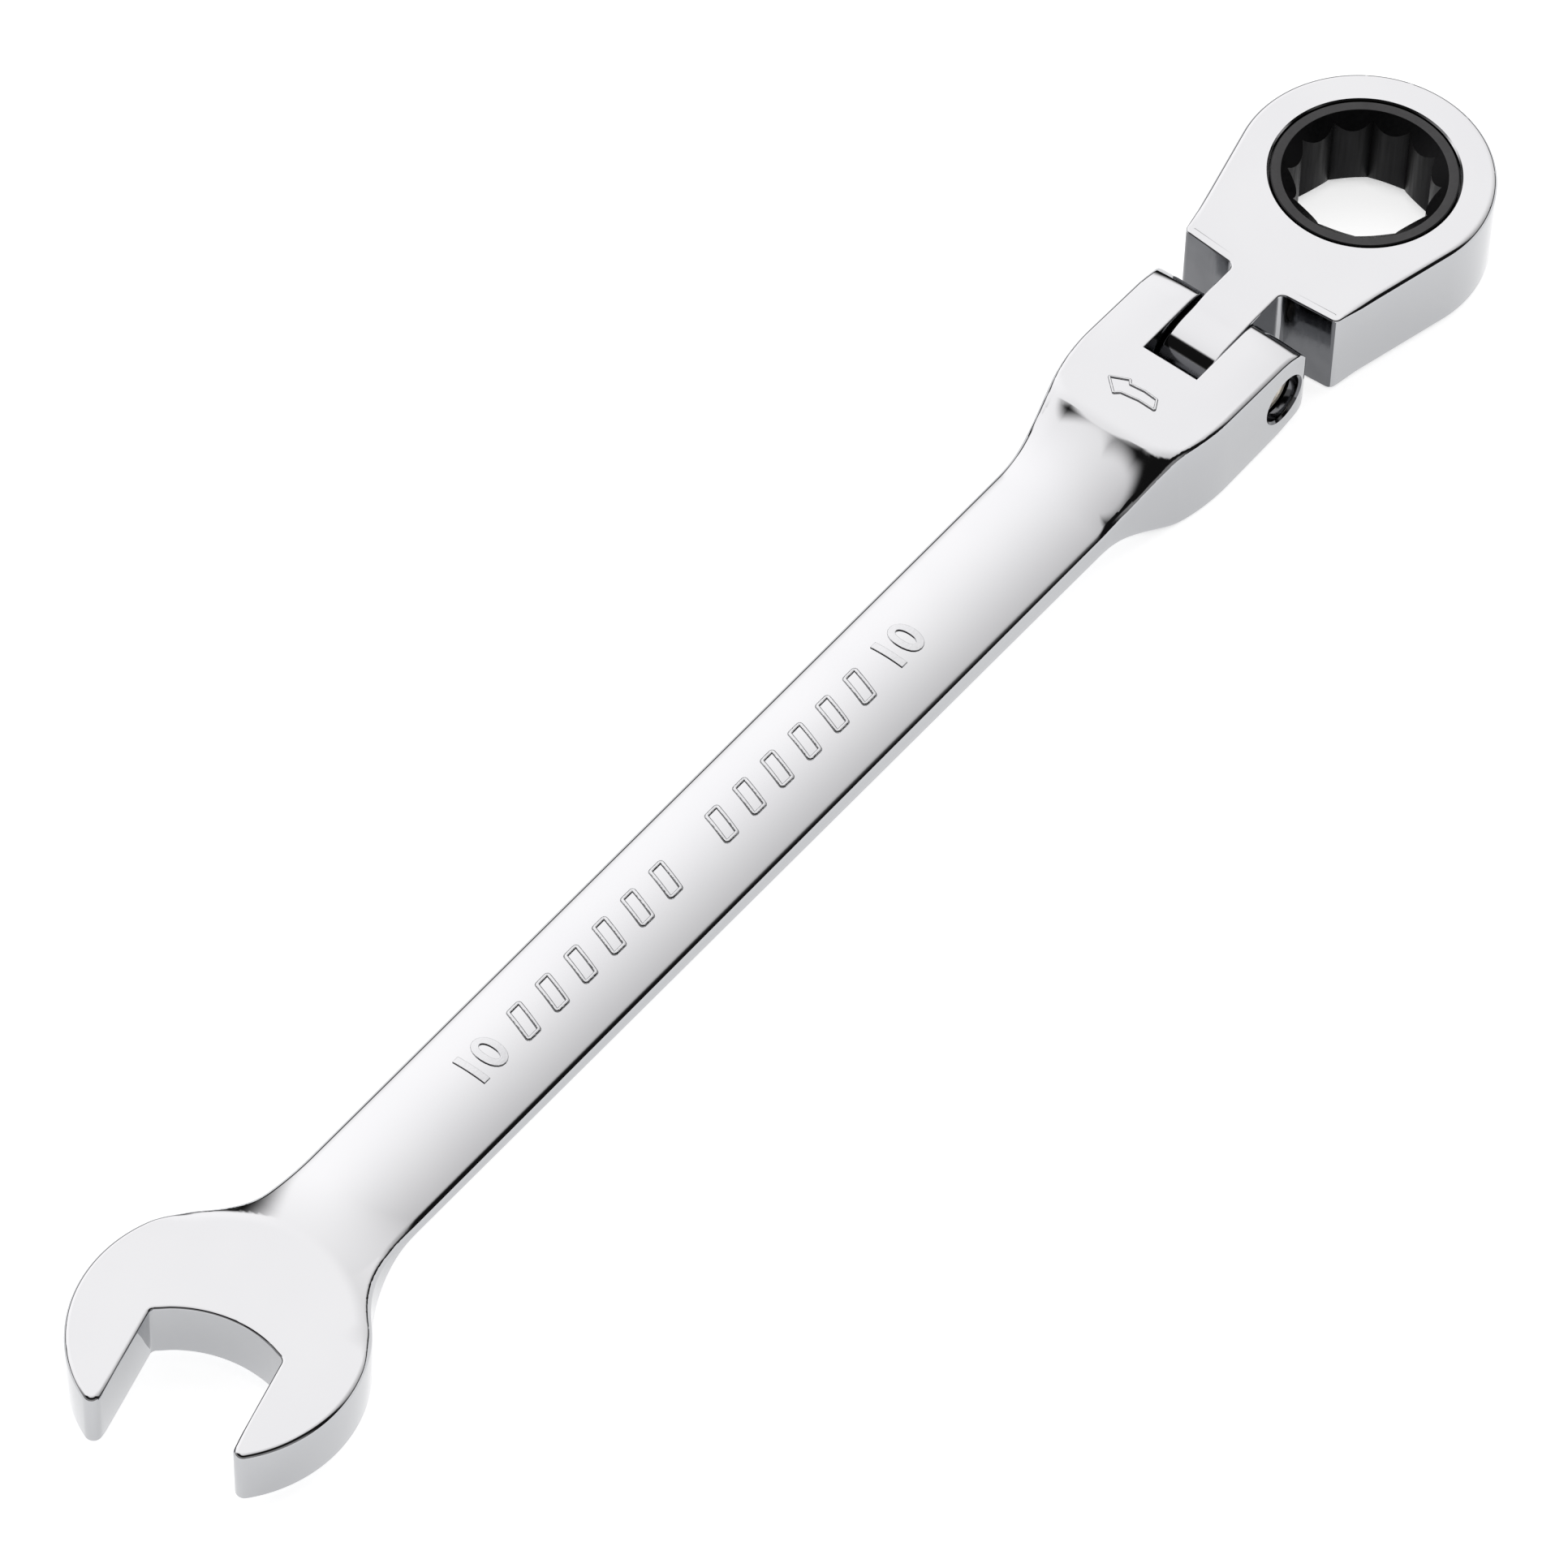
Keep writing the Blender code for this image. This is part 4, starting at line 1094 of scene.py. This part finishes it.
def on_shoulder_or_tongue_end(centre, normal):
    on_shoulder = abs(centre.x - (RING_X - SHOULDER_X)) < 0.6 and normal.x < -0.8
    in_tongue_end = centre.x < PIN_X - 2.5 and abs(centre.z - MID_Z) < 1.9
    return on_shoulder or (in_tongue_end and normal.x < -0.5)


# The shoulders and the tongue's end take the milled chrome: its cutter streaks are real, and its darker
# colour is painted shade.
second_finish_where(head, on_shoulder_or_tongue_end)
settle(head, 35, head_height, PIN_PLACE)
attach(head, "head")
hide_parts("ratchet_head")

# %% [markdown]
# ## The ratchet gear
#
# The black ring that grips the nut has twelve points with rounded lobes between them, so that it
# holds a nut by its flats and not by its corners. Outside, 72 small teeth meet the pawl. The body
# is turned, the toothed band is joined on, and a star-shaped prism and two cones cut its mouth.

# %% Gear sizes and outlines
TEETH = 72
TOOTH_TIP_RADIUS = 7.9
TOOTH_DEPTH = 0.4
TOOTH_LEAN = 0.04
BAND_Z = (-1.6, 2.65)
GEAR_TOP_RADIUS = 7.1
GEAR_BOTTOM_RADIUS = 7.0
GEAR_HALF_HEIGHT = 3.85
NUT_ACROSS_FLATS = 10.06
SOCKET_POINT_RADIUS = NUT_ACROSS_FLATS / math.sqrt(3)
SOCKET_LOBE_RADIUS = 5.14
SOCKET_POINTS = 12
MOUTH_RADIUS = SOCKET_POINT_RADIUS + 0.5
DRAG_GROOVE = (6.45, -3.55, -2.65)


def tooth_outline():
    pitch = 2 * math.pi / TEETH
    points = []
    for index in range(TEETH):
        for radius, lean in (
            (TOOTH_TIP_RADIUS, -TOOTH_LEAN),
            (TOOTH_TIP_RADIUS - TOOTH_DEPTH, TOOTH_LEAN),
        ):
            angle = (index + lean) * pitch
            points.append((radius * math.cos(angle), radius * math.sin(angle)))
    return points


def socket_outline(steps=10):
    outline = []
    pitch = 2 * math.pi / SOCKET_POINTS
    half_chord = SOCKET_POINT_RADIUS * math.sin(pitch / 2)
    sagitta = SOCKET_POINT_RADIUS * math.cos(pitch / 2) - SOCKET_LOBE_RADIUS
    radius = (half_chord**2 + sagitta**2) / (2 * sagitta)
    sweep = math.asin(half_chord / radius)
    for index in range(SOCKET_POINTS):
        middle = (index + 0.5) * pitch
        reach = SOCKET_LOBE_RADIUS + radius
        centre = (reach * math.cos(middle), reach * math.sin(middle))
        start = middle + math.pi
        outline += arc(centre, radius, start + sweep, start - sweep, steps)[:-1]
    return outline


# %% Make the gear
EDGE = 0.08  # small chamfer at the gear's outer edges


def gear_body():
    groove_radius, groove_low, groove_high = DRAG_GROOVE
    top = GEAR_HALF_HEIGHT
    profile = [
        (0.0, -top),
        (GEAR_BOTTOM_RADIUS - EDGE, -top),
        (GEAR_BOTTOM_RADIUS, -top + EDGE),
        (GEAR_BOTTOM_RADIUS, groove_low),
        (groove_radius, groove_low),
        (groove_radius, groove_high),
        (GEAR_BOTTOM_RADIUS, groove_high),
        (GEAR_BOTTOM_RADIUS, 0.0),
        (GEAR_TOP_RADIUS, 0.0),
        (GEAR_TOP_RADIUS, top - EDGE),
        (GEAR_TOP_RADIUS - EDGE, top),
        (0.0, top),
    ]
    return turned(profile, 144)


def mouth_cutter(side):
    """The lead-in cone, with a narrow shallow facet at its outer edge that catches the light."""
    top = GEAR_HALF_HEIGHT
    deep = 1.3
    profile = [
        (0.0, top - deep),
        (MOUTH_RADIUS - deep, top - deep),
        (MOUTH_RADIUS, top - 0.02),
        (MOUTH_RADIUS + EDGE, top),
        (MOUTH_RADIUS + EDGE + 0.3, top + 0.3),
        (0.0, top + 0.3),
    ]
    profile = [(radius, side * height) for radius, height in profile]
    return turned(profile if side > 0 else profile[::-1], 96)


gear = piece_from("ratchet_ring_gear", gear_body(), [black_oxide, oxide_bore_with_painted_shade], RING_PLACE)
band = piece_from("tooth_band", prism(tooth_outline(), *BAND_Z), [black_oxide], RING_PLACE)
carve(gear, band, operation="UNION")
star = prism(socket_outline(), -GEAR_HALF_HEIGHT - 1, GEAR_HALF_HEIGHT + 1)
carve(
    gear,
    piece_from("star", star, [black_oxide], RING_PLACE),
    piece_from("mouth_top", mouth_cutter(1), [black_oxide], RING_PLACE),
    piece_from("mouth_bottom", mouth_cutter(-1), [black_oxide], RING_PLACE),
)


def in_socket(centre, normal):
    return math.hypot(centre.x - RING_X, centre.y) < MOUTH_RADIUS + 0.05 and abs(normal.z) < 0.95


# The socket's faces take the darker oxide: the broach lines are real, and the darker colour is painted shade
# in the hollow.
second_finish_where(gear, in_socket)
settle(gear, 28)
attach(gear, "gear")
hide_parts("ratchet_gear")

# %% [markdown]
# ## The pivot screw
#
# The hinge turns on a headed screw. Its head has a hexagonal key socket, its middle is a plain
# bearing, and its end is threaded and stops short of the ear's face, where it shows as a dull disc
# at the bottom of the hole. It is turned from one profile, and a hexagon is cut into its head.

# %% Make the screw
SCREW_SHANK_RADIUS = 1.75
SCREW_HEAD_RADIUS = 2.4
SCREW_HEAD_TOP_Y = 6.5
SCREW_HEAD_HEIGHT = 1.3
SCREW_TIP_Y = -5.75
SCREW_HEX_RADIUS = 1.15
SCREW_HEX_DEPTH = 1.0
SCREW_EDGE = 0.25
SCREW_THREAD_DEPTH = 0.2
SCREW_DISH_RADIUS = 1.05  # the shallow dish in the tip's end
SCREW_DISH_DEPTH = 0.12


def screw_profile():
    head_low = SCREW_HEAD_TOP_Y - SCREW_HEAD_HEIGHT
    profile = [
        (0.0, SCREW_TIP_Y + SCREW_DISH_DEPTH),
        (SCREW_DISH_RADIUS - 0.15, SCREW_TIP_Y + SCREW_DISH_DEPTH - 0.02),
        (SCREW_DISH_RADIUS, SCREW_TIP_Y),
    ]
    profile.append((SCREW_SHANK_RADIUS - SCREW_EDGE, SCREW_TIP_Y))
    height = SCREW_TIP_Y + SCREW_EDGE
    while height < -SLOT_HALF_WIDTH - THREAD_PITCH:
        profile.append((SCREW_SHANK_RADIUS, height))
        profile.append((SCREW_SHANK_RADIUS - SCREW_THREAD_DEPTH, height + THREAD_PITCH / 2))
        height += THREAD_PITCH
    profile += [
        (SCREW_SHANK_RADIUS, height),
        (SCREW_SHANK_RADIUS, head_low),
        (SCREW_HEAD_RADIUS, head_low),
        (SCREW_HEAD_RADIUS, SCREW_HEAD_TOP_Y - SCREW_EDGE),
    ]
    centre = (SCREW_HEAD_RADIUS - SCREW_EDGE, SCREW_HEAD_TOP_Y - SCREW_EDGE)
    profile += arc(centre, SCREW_EDGE, 0, math.pi / 2, 5)[1:]
    profile.append((0.0, SCREW_HEAD_TOP_Y))
    return profile


def hexagon(radius):
    return arc((0, 0), radius, 0, 2 * math.pi, 6)[:-1]


rod = laid_along_y(turned(screw_profile(), 64))
screw = piece_from("pivot_machine_screw", rod, [zinc_plate], PIN_PLACE)
key = laid_along_y(prism(hexagon(SCREW_HEX_RADIUS), SCREW_HEAD_TOP_Y - SCREW_HEX_DEPTH, SCREW_HEAD_TOP_Y + 1))
carve(screw, piece_from("key_socket", key, [zinc_plate], PIN_PLACE))
settle(screw, 30)
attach(screw, "handle")
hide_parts("pivot_screw")

# %% [markdown]
# ## Raised marks
#
# Forging dies leave raised marks: an arrow on the fork that shows which way the ring drives, and
# marks along the shank. Here the shank carries only its size, 10, at each end of a row of plain
# slanting marks. A mark is a small raised body draped over the face, so it follows the crown.

# %% Drape a mark over the handle
MARK_SINK = 0.10  # how far a mark's root reaches into the face


def drape(bm):
    """Lifts each point by the height of the face under it."""
    for vert in bm.verts:
        vert.co.z += handle_height(vert.co.x, vert.co.y)
    return bm


def body_of(data):
    """Turns a curve or a text into a bmesh and clears it away."""
    holder = bpy.data.objects.new(data.name, data)
    mesh = bpy.data.meshes.new_from_object(holder)
    bm = bmesh.new()
    bm.from_mesh(mesh)
    bpy.data.objects.remove(holder)
    bpy.data.curves.remove(data)
    bpy.data.meshes.remove(mesh)
    return bm


def ridge_along(points, radius):
    """A round bead along a closed line of points in plan, half sunk in the face."""
    data = bpy.data.curves.new("ridge", "CURVE")
    data.dimensions = "3D"
    data.bevel_depth = radius
    data.bevel_resolution = 3
    spline = data.splines.new("POLY")
    spline.points.add(len(points) - 1)
    for point, (x, y) in zip(spline.points, points):
        point.co = (x, y, 0.0, 1.0)
    spline.use_cyclic_u = True
    return body_of(data)


def add_mark(name, bm):
    mark = piece_from(name, drape(bm), [marked_chrome], HANDLE_PLACE)
    settle(mark, 50)
    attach(mark, "handle")


# %% The arrow on the fork
BEAD_RADIUS = 0.12
ARROW_CORNER_ROUND = 0.06
ARROW_CORNERS = [  # from the tip, clockwise
    (-0.22, 2.70),
    (0.50, 1.27),
    (0.16, 1.02),
    (0.30, -0.20),
    (0.22, -1.38),
    (-0.68, -1.86),
    (-0.66, -0.40),
    (-0.90, 1.10),
    (-1.27, 1.50),
]


def softened(corners, radius):
    """Rounds every corner of a closed outline a little."""
    points = []
    for index, corner in enumerate(corners):
        before = corners[index - 1]
        after = corners[(index + 1) % len(corners)]
        points += rounded_corner(before, corner, after, radius, 3)
    return points


add_mark("direction_arrow", ridge_along(softened(ARROW_CORNERS, ARROW_CORNER_ROUND), BEAD_RADIUS))

# %% The size figures and the grip marks
FIGURE_HEIGHT = 2.9
FIGURE_RISE = 0.11
FIGURE_EDGE = 0.05
FIGURE_WEIGHT = 0.06  # how much bolder the strokes are drawn
TYPE_SIZE_PER_HEIGHT = 1.38
MARKS_START_X = -76.0
MARKS_END_X = -28.6
FIGURE_ROOM = 4.6  # from a pair of figures to the first mark
MARK_PITCH = 3.15
MARK_HALF_LENGTH = 1.30
MARK_HALF_WIDTH = 0.60
MARK_SLANT = 0.45
MARK_CORNER = 0.12
MARK_BEAD_RADIUS = 0.19
DRAPE_STEP = 0.35


def figures(text, x):
    """Raised figures that read along the shank from the open end."""
    data = bpy.data.curves.new("figures", "FONT")
    data.body = text
    data.size = FIGURE_HEIGHT * TYPE_SIZE_PER_HEIGHT
    data.align_x = "CENTER"
    data.align_y = "CENTER"
    data.extrude = FIGURE_RISE
    data.offset = FIGURE_WEIGHT
    data.bevel_depth = FIGURE_EDGE
    data.bevel_resolution = 2
    data.resolution_u = 6
    bm = body_of(data)
    bmesh.ops.remove_doubles(bm, verts=bm.verts, dist=1e-4)
    cut_across(bm, 1, spread(-FIGURE_HEIGHT / 2, FIGURE_HEIGHT / 2, DRAPE_STEP))
    bmesh.ops.translate(bm, vec=(x, 0, -MARK_SINK / 2), verts=bm.verts)
    return bm


def grip_mark(x):
    """A raised line round a slanting oblong, which stands across the shank."""
    low, high = -MARK_HALF_LENGTH, MARK_HALF_LENGTH
    corners = [
        (MARK_HALF_WIDTH - MARK_SLANT, low),
        (MARK_HALF_WIDTH + MARK_SLANT, high),
        (-MARK_HALF_WIDTH + MARK_SLANT, high),
        (-MARK_HALF_WIDTH - MARK_SLANT, low),
    ]
    outline = []
    rounded = softened(corners, MARK_CORNER)
    for first, second in zip(rounded, rounded[1:] + rounded[:1]):
        outline.append(first)
        length = math.dist(first, second)
        if length > DRAPE_STEP:
            steps = spread(0.0, 1.0, DRAPE_STEP / length)[1:-1]
            outline += [tuple(Vector(first).lerp(Vector(second), share)) for share in steps]
    bm = ridge_along(outline, MARK_BEAD_RADIUS)
    bmesh.ops.translate(bm, vec=(x, 0, -MARK_SINK / 2), verts=bm.verts)
    return bm


def joined(parts):
    whole = bmesh.new()
    for part in parts:
        mesh = bpy.data.meshes.new("part")
        part.to_mesh(mesh)
        part.free()
        whole.from_mesh(mesh)
        bpy.data.meshes.remove(mesh)
    return whole


add_mark("size_figures", joined([figures("10", MARKS_START_X), figures("10", MARKS_END_X)]))
grip_places = spread(MARKS_START_X + FIGURE_ROOM, MARKS_END_X - FIGURE_ROOM, MARK_PITCH)
grip_places.pop(len(grip_places) // 2)
add_mark("grip_marks", joined([grip_mark(x) for x in grip_places]))

# %% [markdown]
# ## The pieces inside
#
# The pawl, its spring, the retaining ring, the rubber drag ring and the two washers are seen only
# through gaps or from below. Their CAD solids already have the right shape, so they keep it and
# take the finishes of their own metals.

# %% Finish the inner pieces
inner_finishes = {
    "pawl": ground_steel,
    "pawl_spring": drawn_wire,
    "retaining_ring": phosphate,
    "drag_ring": nitrile_rubber,
    "friction_washer_left": tempered_strip,
    "friction_washer_right": tempered_strip,
}
for name, material in inner_finishes.items():
    piece = frame["nodes"][name]
    piece.material_slots[0].link = "OBJECT"
    piece.material_slots[0].material = material
print("finished inside:", ", ".join(inner_finishes))
